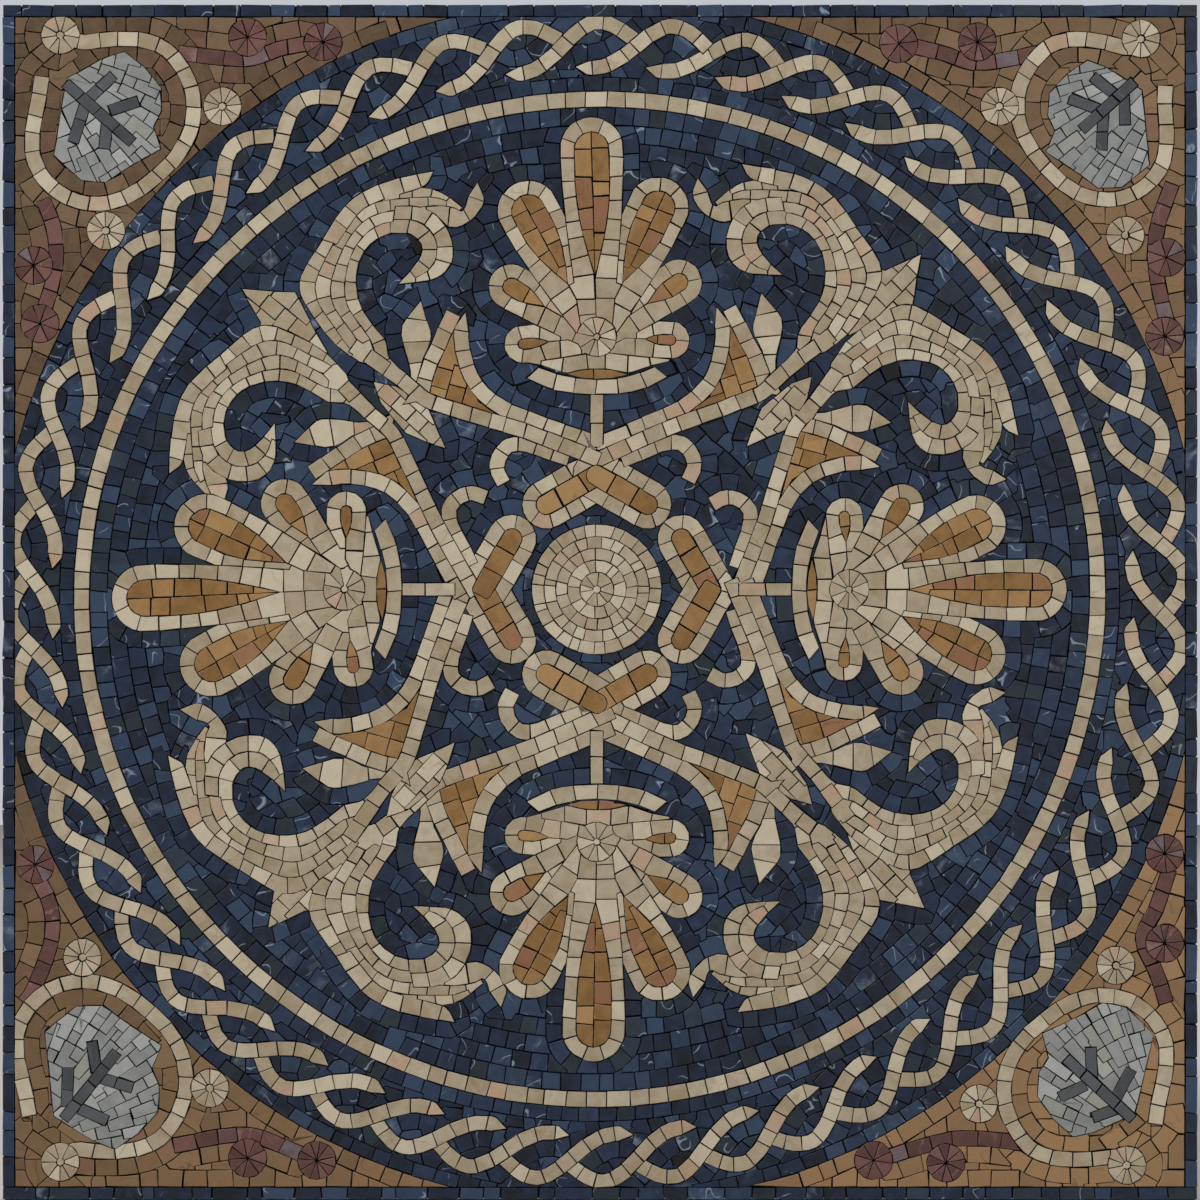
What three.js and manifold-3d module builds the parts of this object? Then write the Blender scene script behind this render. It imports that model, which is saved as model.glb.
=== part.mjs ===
// Mosaic wall panel: small square-cut marble tiles on a mesh backing.
// Millimetres, +Z up. The panel stands upright: its back lies in the plane y = 0, its face looks along -Y,
// and the origin is the middle of the back. Each field of tiles is one solid, and each ornament is a solid
// of its own, let into a recess of the field around it. All faces are flush.

import * as THREE from "three";
import { mergeVertices } from "three/addons/utils/BufferGeometryUtils.js";
import Module from "manifold-3d";

const wasm = await Module();
wasm.setup();

// ---------------------------------------------------------------- driving dimensions

const PANEL_SIDE = 760;
const BACKING_THICKNESS = 2;
const STONE_THICKNESS = 8;
const INLAY_THICKNESS = 5;
const JOINT = 0.5;
const ROW = 9.6;
const BORDER_WIDTH = 7.6;
const OUTLINE_TOLERANCE = 1.4;

const FRONT = BACKING_THICKNESS + STONE_THICKNESS;
const INLAY_FLOOR = FRONT - INLAY_THICKNESS;
const HALF = PANEL_SIDE / 2;
const FIELDS_HALF = HALF - BORDER_WIDTH - JOINT;

const CIRCLE_SIDES = 60;
const RING_RADIUS = 383.8;

// The ring line was laid by eye. A wave gives a value all round the panel: its mean, then the cosine and sine
// parts of one, two and three swells a turn.
const RING_LINE_RADIUS = [320.5, 2.3, -5.5, -2.5, 1.1, -0.6, 1.1];

const FIELD_CENTRE = [-2, 8];
const DISC_RADIUS = 41.5;
const KNOT = { apex: 73.1, lobeX: 29.4, lobeY: 53.7, radius: 16 };
const ROSETTE_RADIUS = 12;
const ROSETTE_SIDES = 8;

const PALMETTE_RADIUS = 160.5;
const PALMETTE_HEART = 9;
const STEM = { width: 8.3, from: 92 };
const CALYX = { y: 129.7, half: 42, sag: 6.4 };
const PETALS = [
  { angle: 0, length: 139.8, half: 20.3 },
  { angle: 27, length: 110.6, half: 19.7 },
  { angle: 58, length: 77.5, half: 14.6 },
  { angle: 94, length: 59.1, half: 12.1 },
];

// ---------------------------------------------------------------- outlines
// An outline is a closed list of [x, y] points as seen from the front, and a figure is a list of outlines.

const radians = THREE.MathUtils.degToRad;

// A point at a radius and a clock angle, which runs clockwise from the top.
function onClock(radius, clock) {
  return [radius * Math.sin(radians(clock)), radius * Math.cos(radians(clock))];
}

function wave([mean, ...parts], clock) {
  return parts.reduce((sum, part, i) => {
    const angle = radians(clock) * (Math.floor(i / 2) + 1);
    return sum + part * (i % 2 ? Math.sin(angle) : Math.cos(angle));
  }, mean);
}

// A smooth line through the points, with a number of steps between neighbours.
function smooth(points, steps) {
  const through = points.map(([x, y]) => new THREE.Vector3(x, y, 0));
  const curve = new THREE.CatmullRomCurve3(through, false, "catmullrom", 0.5);
  return curve.getPoints(steps * (points.length - 1)).map((p) => [p.x, p.y]);
}

// A row of tiles along a centre line.
function band(points, steps = 2) {
  const line = smooth(points, steps);
  const left = [];
  const right = [];
  line.forEach(([x, y], i) => {
    const [x0, y0] = line[Math.max(i - 1, 0)];
    const [x1, y1] = line[Math.min(i + 1, line.length - 1)];
    const scale = ROW / 2 / Math.hypot(x1 - x0, y1 - y0);
    left.push([x - (y1 - y0) * scale, y + (x1 - x0) * scale]);
    right.push([x + (y1 - y0) * scale, y - (x1 - x0) * scale]);
  });
  return [...left, ...right.reverse()];
}

// Several rows between two edges that start at the same end.
function strip(edgeA, edgeB) {
  return [...smooth(edgeA, 2), ...smooth(edgeB, 2).reverse()];
}

function disc([x, y], radius, sides) {
  return Array.from({ length: sides }, (_, i) => {
    const [dx, dy] = onClock(radius, (360 * i) / sides);
    return [x + dx, y + dy];
  });
}

// The hull of two circles.
function drop([x0, y0], radius0, [x1, y1], radius1, arcSteps) {
  const heading = Math.atan2(y1 - y0, x1 - x0);
  const lean = Math.acos((radius0 - radius1) / Math.hypot(x1 - x0, y1 - y0));
  const arc = (x, y, radius, from, sweep, steps) => Array.from({ length: steps + 1 }, (_, i) => {
    const angle = from + (sweep * i) / steps;
    return [x + radius * Math.cos(angle), y + radius * Math.sin(angle)];
  });
  return [
    ...arc(x1, y1, radius1, heading - lean, 2 * lean, arcSteps),
    ...arc(x0, y0, radius0, heading + lean, 2 * (Math.PI - lean), 2),
  ];
}

function rectangle(x0, y0, x1, y1) {
  return [[x0, y0], [x1, y0], [x1, y1], [x0, y1]];
}

// Applies a rule for one point to every outline of a figure.
function place(figure, rule) {
  return figure.map((outline) => outline.map(rule));
}

// Turns clockwise, scales and shifts a point.
function nudge({ turn = 0, size = 1, shift = [0, 0] }) {
  const [sin, cos] = onClock(size, turn);
  return ([x, y]) => [x * cos + y * sin + shift[0], y * cos - x * sin + shift[1]];
}

// ---------------------------------------------------------------- solids

function manifoldOf(shape, from, to) {
  const block = new THREE.ExtrudeGeometry(shape, { depth: to - from, bevelEnabled: false });
  block.translate(0, 0, from);
  block.deleteAttribute("normal");
  block.deleteAttribute("uv");
  const merged = mergeVertices(block);
  const vertProperties = Float32Array.from(merged.attributes.position.array);
  const triVerts = Uint32Array.from(merged.index.array);
  return new wasm.Manifold(new wasm.Mesh({ numProp: 3, vertProperties, triVerts }));
}

const vectors = (outline) => outline.map(([x, y]) => new THREE.Vector2(x, y));

// One outline as a solid between two heights over the back.
function prism(outline, from = BACKING_THICKNESS, to = FRONT) {
  const points = vectors(outline);
  return manifoldOf(new THREE.Shape(THREE.ShapeUtils.isClockWise(points) ? points.reverse() : points), from, to);
}

// The closed edges of a solid's front face: the outside runs anticlockwise, and openings clockwise.
function frontLoops(solid) {
  const { vertProperties, triVerts } = solid.getMesh();
  const next = new Map();
  for (let i = 0; i < triVerts.length; i += 3) {
    const corners = [triVerts[i], triVerts[i + 1], triVerts[i + 2]];
    if (corners.some((v) => vertProperties[3 * v + 2] < FRONT)) continue;
    corners.forEach((from, k) => {
      const to = corners[(k + 1) % 3];
      if (next.get(to)?.delete(from)) return;
      if (!next.has(from)) next.set(from, new Set());
      next.get(from).add(to);
    });
  }
  const loops = [];
  for (const start of next.keys()) {
    const loop = [];
    for (let v = start; next.get(v).size;) {
      loop.push([vertProperties[3 * v], vertProperties[3 * v + 1]]);
      const [to] = next.get(v);
      next.get(v).delete(to);
      v = to;
    }
    if (loop.length > 2) loops.push(loop);
  }
  return loops;
}

// Keeps only the points of an open line that stand out from it by more than the tolerance.
function simplify(line) {
  const first = new THREE.Vector2(...line[0]);
  const along = new THREE.Vector2(...line.at(-1)).sub(first);
  const offsets = line.slice(1, -1).map(([x, y]) => {
    const away = new THREE.Vector2(x, y).sub(first);
    return along.length() > 1 ? Math.abs(along.cross(away)) / along.length() : away.length();
  });
  const offset = Math.max(...offsets);
  if (offset < OUTLINE_TOLERANCE || line.length < 3) return [line[0], line.at(-1)];
  const farthest = offsets.indexOf(offset) + 1;
  return [...simplify(line.slice(0, farthest + 1)).slice(0, -1), ...simplify(line.slice(farthest))];
}

// Moves each side of a loop away from the solid by a distance.
function grow(loop, distance) {
  return loop.map(([x, y], i) => {
    const [x0, y0] = loop.at(i - 1);
    const [x1, y1] = loop[(i + 1) % loop.length];
    const before = new THREE.Vector2(y - y0, x0 - x).normalize();
    const after = new THREE.Vector2(y1 - y, x - x1).normalize();
    const outward = before.clone().add(after);
    const reach = (2 * distance) / Math.max(outward.lengthSq(), 0.6);
    return [x + outward.x * reach, y + outward.y * reach];
  });
}

// The outline of a whole figure as loops: the outside first, then its openings.
function outlineOf(figure) {
  const joined = figure.map((outline) => prism(outline)).reduce((whole, next) => whole.add(next));
  const loops = frontLoops(joined).map((loop) => simplify([...loop, loop[0]]).slice(0, -1));
  const size = (loop) => Math.abs(THREE.ShapeUtils.area(vectors(loop)));
  return loops.filter((loop) => loop.length > 2 && size(loop) > ROW).sort((a, b) => size(b) - size(a));
}

// Loops as a solid with openings, grown by a distance.
function block(loops, from, to, distance = 0) {
  const [outside, ...openings] = loops.map((loop) => vectors(distance ? grow(loop, distance) : loop));
  const shape = new THREE.Shape(outside);
  shape.holes = openings.map((opening) => new THREE.Path(opening));
  return manifoldOf(shape, from, to);
}

// ---------------------------------------------------------------- pieces

const panel = new THREE.Group();

const STONES = {
  navy: { color: "#333b49", roughness: 0.6 },
  cream: { color: "#c6b799", roughness: 0.65 },
  ochre: { color: "#97714a", roughness: 0.65 },
  rose: { color: "#7d554c", roughness: 0.65 },
  white: { color: "#bfbfba", roughness: 0.6 },
  mesh: { color: "#b9b6ab", roughness: 0.9 },
};

// Stands the solid up, so that its height over the back becomes depth along -Y.
function addPiece(name, solid, stone) {
  const { vertProperties, triVerts } = solid.getMesh();
  const geometry = new THREE.BufferGeometry();
  geometry.setAttribute("position", new THREE.BufferAttribute(Float32Array.from(vertProperties), 3));
  geometry.setIndex(new THREE.BufferAttribute(Uint32Array.from(triVerts), 1));
  geometry.applyMatrix4(new THREE.Matrix4().set(1, 0, 0, 0, 0, 0, -1, 0, 0, 1, 0, 0, 0, 0, 0, 1));
  geometry.computeVertexNormals();
  const mesh = new THREE.Mesh(geometry, new THREE.MeshStandardMaterial({ ...STONES[stone], metalness: 0 }));
  mesh.name = name;
  panel.add(mesh);
}

// A ground of tiles that ornaments are let into, one after another. Each is cut clear of the ones before it.
class Ground {
  constructor(solid, stone) {
    this.solid = solid;
    this.region = solid;
    this.stone = stone;
    this.ornaments = [];
  }

  lay(name, figure, stone = "cream") {
    const loops = outlineOf(figure);
    let ornament = block(loops, INLAY_FLOOR, FRONT).intersect(this.region);
    this.ornaments.forEach((earlier) => {
      ornament = ornament.subtract(earlier);
    });
    addPiece(name, ornament, stone);
    this.ornaments.push(block(loops, INLAY_FLOOR, FRONT + 1, JOINT));
    this.solid = this.solid.subtract(this.ornaments.at(-1));
  }

  finish(name) {
    addPiece(name, this.solid, this.stone);
  }
}

// ---------------------------------------------------------------- backing and border

addPiece("mesh_backing", prism(rectangle(-HALF, -HALF, HALF, HALF), 0, BACKING_THICKNESS), "mesh");

[["top", 1], ["bottom", -1]].forEach(([name, sign]) => {
  addPiece(`border_${name}`, prism(rectangle(-HALF, sign * (HALF - BORDER_WIDTH), HALF, sign * HALF)), "navy");
});
[["left", -1], ["right", 1]].forEach(([name, sign]) => {
  const edge = sign * (HALF - BORDER_WIDTH);
  addPiece(`border_${name}`, prism(rectangle(edge, -FIELDS_HALF, sign * HALF, FIELDS_HALF)), "navy");
});

// ---------------------------------------------------------------- guilloche ring and ring line
// The guilloche is only colour: strands of cream tiles in the ring's navy ones, flush with them.

const fields = prism(rectangle(-FIELDS_HALF, -FIELDS_HALF, FIELDS_HALF, FIELDS_HALF));
const circle = (radius) => prism(disc([0, 0], radius, CIRCLE_SIDES));

// The area inside the middle of the ring line, made wider or narrower.
function insideRingLine(offset) {
  return prism(Array.from({ length: CIRCLE_SIDES }, (_, i) => {
    const clock = (360 * i) / CIRCLE_SIDES;
    return onClock(wave(RING_LINE_RADIUS, clock) + offset, clock);
  }));
}

const ring = circle(RING_RADIUS).intersect(fields).subtract(insideRingLine(ROW / 2 + JOINT));
addPiece("guilloche_ring", ring, "navy");
addPiece("ring_line", insideRingLine(ROW / 2).subtract(insideRingLine(-ROW / 2)), "cream");

// ---------------------------------------------------------------- centre disc and knots

const SIDES = { n: 0, e: 90, s: 180, w: 270 };
const field = new Ground(insideRingLine(-ROW / 2 - JOINT), "navy");
const inField = (figure, clock = 0) => place(figure, nudge({ turn: clock, shift: FIELD_CENTRE }));

field.lay("centre_disc", inField([disc([0, 0], DISC_RADIUS, 24)]));

const knot = [-1, 1].map((side) => {
  return drop([0, KNOT.apex], KNOT.radius, [side * KNOT.lobeX, KNOT.lobeY], KNOT.radius, 5);
});
Object.entries(SIDES).forEach(([name, clock]) => field.lay(`knot_${name}`, inField(knot, clock)));

// ---------------------------------------------------------------- palmettes

// How far each palmette leans from its side's axis, clockwise, and how long its petals are.
const PALMETTE_LEAN = { n: -1.6, e: 0.2, s: 1, w: -2.5 };
const PALMETTE_SIZE = { n: 1, e: 0.99, s: 1, w: 1.06 };

const petals = [...PETALS, ...PETALS.slice(1).map((petal) => ({ ...petal, angle: -petal.angle }))];
const fan = petals.map(({ angle, length, half }) => {
  return drop([0, 0], PALMETTE_HEART, onClock(length - half, angle), half, 4);
});
const calyx = [
  band([[-CALYX.half, CALYX.y + CALYX.sag], [0, CALYX.y], [CALYX.half, CALYX.y + CALYX.sag]]),
  rectangle(-0.75 * CALYX.half, CALYX.y + 2, 0.75 * CALYX.half, CALYX.y + 2 * ROW),
  rectangle(-STEM.width / 2, STEM.from, STEM.width / 2, CALYX.y),
];
Object.entries(SIDES).forEach(([name, clock]) => {
  const stand = nudge({ turn: PALMETTE_LEAN[name], size: PALMETTE_SIZE[name], shift: [0, PALMETTE_RADIUS] });
  field.lay(`palmette_${name}`, inField([...place(fan, stand), ...calyx], clock));
});

// ---------------------------------------------------------------- scrolls
// Places are from the field's centre. Half a scroll leans to the top, and its mirror leans to the side.

const tendril = [
  [7, 86], [42.5, 101.5], [75, 113], [88.5, 118], [105, 124.5], [120.5, 138.5], [150, 161],
];
const tendrilTop = [
  [6, 95.5], [39, 108.5], [57, 115.5], [68, 123], [75, 133.5], [79.5, 150], [81, 166.5], [76, 179],
];
const husk = [[76, 178], [84, 166], [92, 152], [88, 176], [96, 174], [108, 148], [112, 130], [82, 118], [64, 116]];
const hook = [[36, 95], [45, 91], [54, 91.5], [61, 86], [63.5, 78], [60, 69]];
const spearLeft = [[106.5, 187.5], [102.5, 174], [101.5, 160.5], [106, 146], [106.5, 130]];
const spearRight = [[106.5, 187.5], [114, 178.5], [120, 169.5], [117.5, 155.5], [112, 126]];
const bodyInner = [
  [127, 146], [135.5, 169.5], [145.5, 184.5], [147, 197], [142.5, 219], [134, 227], [123, 231], [113, 229],
];
const bodyOuter = [
  [161, 161], [174, 177], [183, 192], [183, 205], [170, 224], [161, 237], [142.5, 254], [119, 264.5], [106.5, 265],
];
const collar = [[118, 229], [91, 235], [75, 245], [82.5, 251], [93, 259], [94, 268.5], [119, 264]];
const tongue = [[94, 237], [80.5, 237.5], [72, 243], [66.5, 250], [65, 261]];
const curlInner = [[117, 232], [106.5, 225], [104, 220], [119, 198.5]];
const curlOuter = [[90.5, 238], [85, 219], [86.5, 208.5], [93.5, 200.5], [119, 198.3]];
const crestHalf = [[160, 160], [168, 178], [176, 202], [194, 204.5], [209, 209]];
const leafHalf = [[94, 94], [99.5, 107.5], [109.5, 123], [123, 131.5], [137, 137]];

const halfScroll = [
  band(tendril, 1),
  band(tendrilTop, 1),
  husk,
  band(hook, 1),
  strip(spearLeft, spearRight),
  strip(bodyInner, bodyOuter),
  collar,
  band(tongue, 1),
  strip(curlInner, curlOuter),
];
const swap = ([x, y]) => [y, x];
const mirrored = (half) => [...half, ...half.slice(1, -1).reverse().map(swap)];
const crest = [mirrored(crestHalf)];
const spearhead = [mirrored(leafHalf)];

// How each half was laid, the upper or clockwise-first half before the other.
const SCROLLS = {
  ne: [{ turn: -0.6, size: 1.005, shift: [0.6, -1.3] }, { turn: -2.4, size: 0.982, shift: [8, -5.3] }],
  se: [{ turn: 1.2, size: 0.984, shift: [4.7, 4.8] }, { turn: 1.5, size: 1.009, shift: [1.5, 5.1] }],
  sw: [{ turn: -0.4, size: 1.05, shift: [6.7, 7.9] }, { turn: -0.8, size: 1.038, shift: [2.4, 5] }],
  nw: [{ turn: -5.8, size: 0.995, shift: [4.7, 8] }, { turn: -2.6, size: 1.002, shift: [2.6, 0.8] }],
};

Object.entries(SCROLLS).forEach(([name, [first, second]], quarter) => {
  const figure = [
    ...place(inField(halfScroll, 90 * quarter), nudge(first)),
    ...place(inField(place(halfScroll, swap), 90 * quarter), nudge(second)),
    ...place(inField(crest, 90 * quarter), nudge(first)),
  ];
  field.lay(`scroll_${name}`, figure);
  field.lay(`spearhead_${name}`, place(inField(spearhead, 90 * quarter), nudge(second)));
});
field.finish("field_ground");

// ---------------------------------------------------------------- corners
// Places are from the panel's corner, along the top or bottom edge first and then along the side edge.

const LOOP = [
  [49.5, 27], [66.5, 25.5], [86, 26.5], [101.5, 33], [112.5, 47], [118, 64], [116.5, 82.5], [108, 99], [94, 113],
  [77.5, 124.5], [58.5, 130], [39.5, 127], [24, 116], [15.5, 100], [15.5, 81], [19.5, 64.5], [22, 48],
];
const LEAF = [
  [39, 46], [62, 33.5], [74, 30], [86, 39.5], [96, 52], [96, 66], [91, 75], [95.5, 88.5], [74, 100.5],
  [62, 108.5], [47.5, 107], [31, 92], [34.5, 72.5],
];

const CORNERS = [
  {
    name: "nw",
    signs: [-1, 1],
    loop: { turn: 1.4, shift: [2, -1.7] },
    leaf: { turn: 0.5, size: 1.06, shift: [-1, -1] },
    loopRosette: [37, 19.5],
    rosettes: [[140, 65], [66, 144]],
    sprays: [
      { stem: [[112, 31], [154, 35], [177, 28], [194, 25]], rosettes: [[204, 24], [156, 21]] },
      { stem: [[26, 124], [33, 143], [34, 168], [26, 197]], rosettes: [[24, 203], [20, 166]] },
    ],
  },
  {
    name: "ne",
    signs: [1, 1],
    loop: { turn: 9, size: 0.95, shift: [-7, 10] },
    leaf: { turn: 4, size: 1.03, shift: [-8, 10] },
    loopRosette: [36, 22],
    rosettes: [[126, 65], [46, 147]],
    sprays: [
      { stem: [[101, 31], [139, 37.5], [162, 31], [180, 27]], rosettes: [[190, 25], [140, 24]] },
      { stem: [[16, 114], [26, 143], [26, 173], [19, 204]], rosettes: [[21, 211], [20, 161]] },
    ],
  },
  {
    name: "se",
    signs: [1, -1],
    loop: { shift: [5, 0] },
    leaf: { turn: -3.5, size: 1.1, shift: [0, 2] },
    loopRosette: [45, 22],
    rosettes: [[139, 61], [52, 149]],
    sprays: [
      { stem: [[112, 36], [139, 39], [162, 37.5], [198, 27]], rosettes: [[206, 25], [160, 23.5]] },
      { stem: [[20, 125], [26, 144], [35, 166], [26, 186], [18, 210]], rosettes: [[21, 220], [21, 163]] },
    ],
  },
  {
    name: "sw",
    signs: [-1, -1],
    loop: { turn: -0.8, size: 1.04, shift: [-5, 3] },
    leaf: { turn: 3.8, size: 1.16, shift: [-16, 3] },
    loopRosette: [37, 24],
    rosettes: [[132, 71], [51, 154]],
    sprays: [
      { stem: [[109, 34], [137, 40], [161, 40.5], [190, 29]], rosettes: [[200, 25], [156, 26.5]] },
      { stem: [[14, 125], [20, 134], [31, 163], [31, 186], [22, 206]], rosettes: [[21, 213]] },
    ],
  },
];

CORNERS.forEach(({ name, signs: [signX, signY], loop, leaf, loopRosette, rosettes, sprays }) => {
  const quarter = prism(rectangle(0, 0, signX * HALF, signY * HALF));
  const corner = new Ground(fields.subtract(circle(RING_RADIUS + JOINT)).intersect(quarter), "ochre");
  const fromCorner = (figure) => place(figure, ([x, y]) => [signX * (HALF - x), signY * (HALF - y)]);
  const rosette = (spot) => disc(spot, ROSETTE_RADIUS, ROSETTE_SIDES);
  const ribbon = band([loopRosette, ...LOOP.map(nudge(loop))], 1);
  corner.lay(`corner_loop_${name}`, fromCorner([ribbon, rosette(loopRosette)]));
  corner.lay(`corner_leaf_${name}`, fromCorner([LEAF.map(nudge(leaf))]), "white");
  rosettes.forEach((spot, i) => corner.lay(`rosette_${name}_${i + 1}`, fromCorner([rosette(spot)])));
  sprays.forEach((spray, i) => {
    const figure = [band(spray.stem, 1), ...spray.rosettes.map(rosette)];
    corner.lay(`spray_${name}_${i + 1}`, fromCorner(figure), "rose");
  });
  corner.finish(`corner_field_${name}`);
});

export default panel;
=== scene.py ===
# %% [markdown]
# # A mosaic wall panel in cut marble
#
# The real panel is a sheet of fibreglass net with more than five thousand small stones glued on it. Each
# one was cut by hand with a hammer or pliers, and they lie in rows that follow the drawing. The packed
# model has the same drawing as plain solids, so each of them is replaced here by its stones.
#
# The work goes as in a mosaic workshop: draw the lines, cut rows of stones along them, let the upper stones
# cut the lower ones, then give every stone its thickness, its worn edge and its marble.

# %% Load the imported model
import math
import random

import bpy
import numpy as np
from mathutils.geometry import delaunay_2d_cdt
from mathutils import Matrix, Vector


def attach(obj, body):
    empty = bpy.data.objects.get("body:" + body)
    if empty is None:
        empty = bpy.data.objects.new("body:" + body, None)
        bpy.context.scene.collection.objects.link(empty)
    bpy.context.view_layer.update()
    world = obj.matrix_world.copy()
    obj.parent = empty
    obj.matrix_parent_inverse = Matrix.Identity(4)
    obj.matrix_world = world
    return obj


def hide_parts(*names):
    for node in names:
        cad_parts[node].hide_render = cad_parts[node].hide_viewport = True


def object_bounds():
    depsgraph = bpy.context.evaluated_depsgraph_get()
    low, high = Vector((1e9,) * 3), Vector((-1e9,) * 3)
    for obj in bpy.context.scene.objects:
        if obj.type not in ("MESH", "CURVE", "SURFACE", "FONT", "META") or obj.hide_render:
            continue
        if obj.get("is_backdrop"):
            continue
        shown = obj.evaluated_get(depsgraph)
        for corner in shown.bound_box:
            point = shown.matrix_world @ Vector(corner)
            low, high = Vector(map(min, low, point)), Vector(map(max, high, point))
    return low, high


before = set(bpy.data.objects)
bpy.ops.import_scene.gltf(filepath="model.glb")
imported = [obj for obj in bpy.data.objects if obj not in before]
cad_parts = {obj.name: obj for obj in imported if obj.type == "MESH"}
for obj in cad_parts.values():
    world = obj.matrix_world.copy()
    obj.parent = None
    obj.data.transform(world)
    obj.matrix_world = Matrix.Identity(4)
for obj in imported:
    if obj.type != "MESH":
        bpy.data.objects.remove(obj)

cad_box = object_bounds()
MM = 0.001
PANEL = 760
HALF = PANEL / 2
print("the panel is", [round(h - l, 3) for l, h in zip(*cad_box)], "m")

# %% [markdown]
# ## Lines
#
# A mosaicist draws the design on paper first. Here a line is a list of points in millimetres as seen from the
# front, from the middle of the panel. Few points are given, and a smooth curve is led through them, as a thin
# bent strip of wood is led through pins. Angles are read as on a clock face, from the top and clockwise.

# %% Curves through a few points
def on_clock(radius, clock):
    angle = math.radians(clock)
    return np.array([radius * math.sin(angle), radius * math.cos(angle)])


def smooth(points, steps=8):
    p = [np.array(q, float) for q in points]
    p = [2 * p[0] - p[1], *p, 2 * p[-1] - p[-2]]
    line = []
    for a, b, c, d in zip(p, p[1:], p[2:], p[3:]):
        for t in np.arange(steps) / steps:
            bend, twist = 2 * a - 5 * b + 4 * c - d, 3 * b - a - 3 * c + d
            line.append(0.5 * (2 * b + (c - a) * t + bend * t**2 + twist * t**3))
    return np.array([*line, p[-2]])


arch = smooth([[0, 0], [30, 10], [60, 0]])
print("an arch through three points is drawn with", len(arch), "points")

# %% Steps along a line
def lengths(line):
    """How far along the line each of its points lies."""
    return np.concatenate([[0], np.cumsum(np.hypot(*np.diff(np.asarray(line, float), axis=0).T))])


def place_on(line, run, at):
    return np.array([np.interp(at, run, np.asarray(line, float)[:, k]) for k in (0, 1)]).T


def resample(line, count):
    """The same line in so many equal steps."""
    run = lengths(line)
    return place_on(line, run, np.linspace(0, run[-1], count + 1))


def even(line, step=2.0):
    return resample(line, max(round(lengths(line)[-1] / step), 2))


print("the arch is", round(lengths(arch)[-1], 1), "mm long, in", len(even(arch)) - 1, "even steps")

# %% Lines beside a line, and turns
def beside(line, distance):
    """A line at a distance to the left of this one; a distance can be given for each point."""
    along = np.gradient(line, axis=0)
    along /= np.maximum(np.hypot(*along.T), 1e-9)[:, None]
    return line + np.column_stack([-along[:, 1], along[:, 0]]) * np.reshape(distance, (-1, 1))


def level_line(x, height):
    return np.column_stack([x, np.full(len(x), height)])


def turn(points, clock=0, size=1, shift=(0, 0)):
    c, s = math.cos(math.radians(clock)) * size, math.sin(math.radians(clock)) * size
    x, y = np.asarray(points, float).T
    return np.column_stack([x * c + y * s + shift[0], y * c - x * s + shift[1]])


print("5 mm outside it, the arch is", round(lengths(beside(arch, 5))[-1], 1), "mm long")

# %% [markdown]
# ## Stones
#
# A stone is a flat outline that knows which piece it belongs to. Later stones lie over earlier ones and cut
# them, as a mosaicist lays the figure first and then cuts the ground stones to fit round it. A shape is an
# outline that its own stones are trimmed to, such as a leaf, whose rim is cut to the drawing.

# %% Laying stones
layout = []


def lay(outline, piece, shape=None):
    layout.append({"outline": np.asarray(outline, float), "piece": piece, "shape": shape})


def laid(part):
    """How many outlines are laid for the pieces with this in their name."""
    return sum(part in entry["piece"] for entry in layout)


def lay_all(stones, piece, put=None):
    """Stones of one piece, each moved to its place by a rule, if one is given."""
    for stone in stones:
        lay(put(stone) if put else stone, piece)


def lay_shape(outline, piece, stones):
    """Stones trimmed to an outline. The shape itself hides what lies under it."""
    name = len(layout)
    for stone in stones:
        lay(stone, piece, shape=name)
    layout.append({"outline": np.asarray(outline, float), "piece": piece, "shape": None, "name": name})


# %% Cut a row into stones
LONGEST_SLANT = 16
SAME_POINT = 0.3
hand = random.Random(11)


def cut_row(edge_a, edge_b, length=12.0, uneven=0.14, skew=0.5):
    """Cuts the strip between two edges, which have the same number of points, across into stones."""
    a, b = np.asarray(edge_a, float), np.asarray(edge_b, float)
    middle = (a + b) / 2
    run = lengths(middle)
    count = max(1, round(run[-1] / length))
    cuts = [0.0]
    for i in range(1, count):
        cuts.append((i + hand.uniform(-uneven, uneven)) * run[-1] / count)
    cuts.append(run[-1])
    tilts = [hand.uniform(-skew, skew) for _ in cuts[1:-1]]

    def square_to(edge, at):
        """How far along an edge a cut square to the middle line reaches it, from a place on that line."""
        foot = place_on(middle, run, at)
        ahead = place_on(middle, run, at + 1) - place_on(middle, run, at - 1)
        near = np.abs(run - at) < LONGEST_SLANT
        past = (edge[near] - foot) @ ahead
        if len(past) < 4 or not past[0] < 0 < past[-1]:
            return at
        return float(np.interp(0, np.maximum.accumulate(past), run[near]))

    def side_of(edge, start, end):
        inner = edge[(run > start + SAME_POINT) & (run < end - SAME_POINT)]
        return [place_on(edge, run, start), *inner, place_on(edge, run, end)]

    marks = [[square_to(a, s) + t, square_to(b, s) - t] for s, t in zip(cuts[1:-1], tilts)]
    marks = [[cuts[0]] * 2, *marks, [cuts[-1]] * 2]
    return [side_of(a, s, e) + side_of(b, q, r)[::-1] for (s, q), (e, r) in zip(marks, marks[1:])]


# %% Bands and strips of stones
ROW = 9.6
BLUNT_TIP = 0.04


def cut_band(points, width=ROW, length=12.5, taper=(0, 0)):
    """One row of stones along a centre line. A taper narrows an end to a point over so many millimetres."""
    line = even(smooth(points))
    run = lengths(line)
    half = np.full(len(line), width / 2)
    for reach, away in ((taper[0], run), (taper[1], run[-1] - run)):
        if reach:
            half = np.minimum(half, width / 2 * np.clip(away / reach, BLUNT_TIP, 1))
    return cut_row(beside(line, half), beside(line, -half), length)


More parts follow.
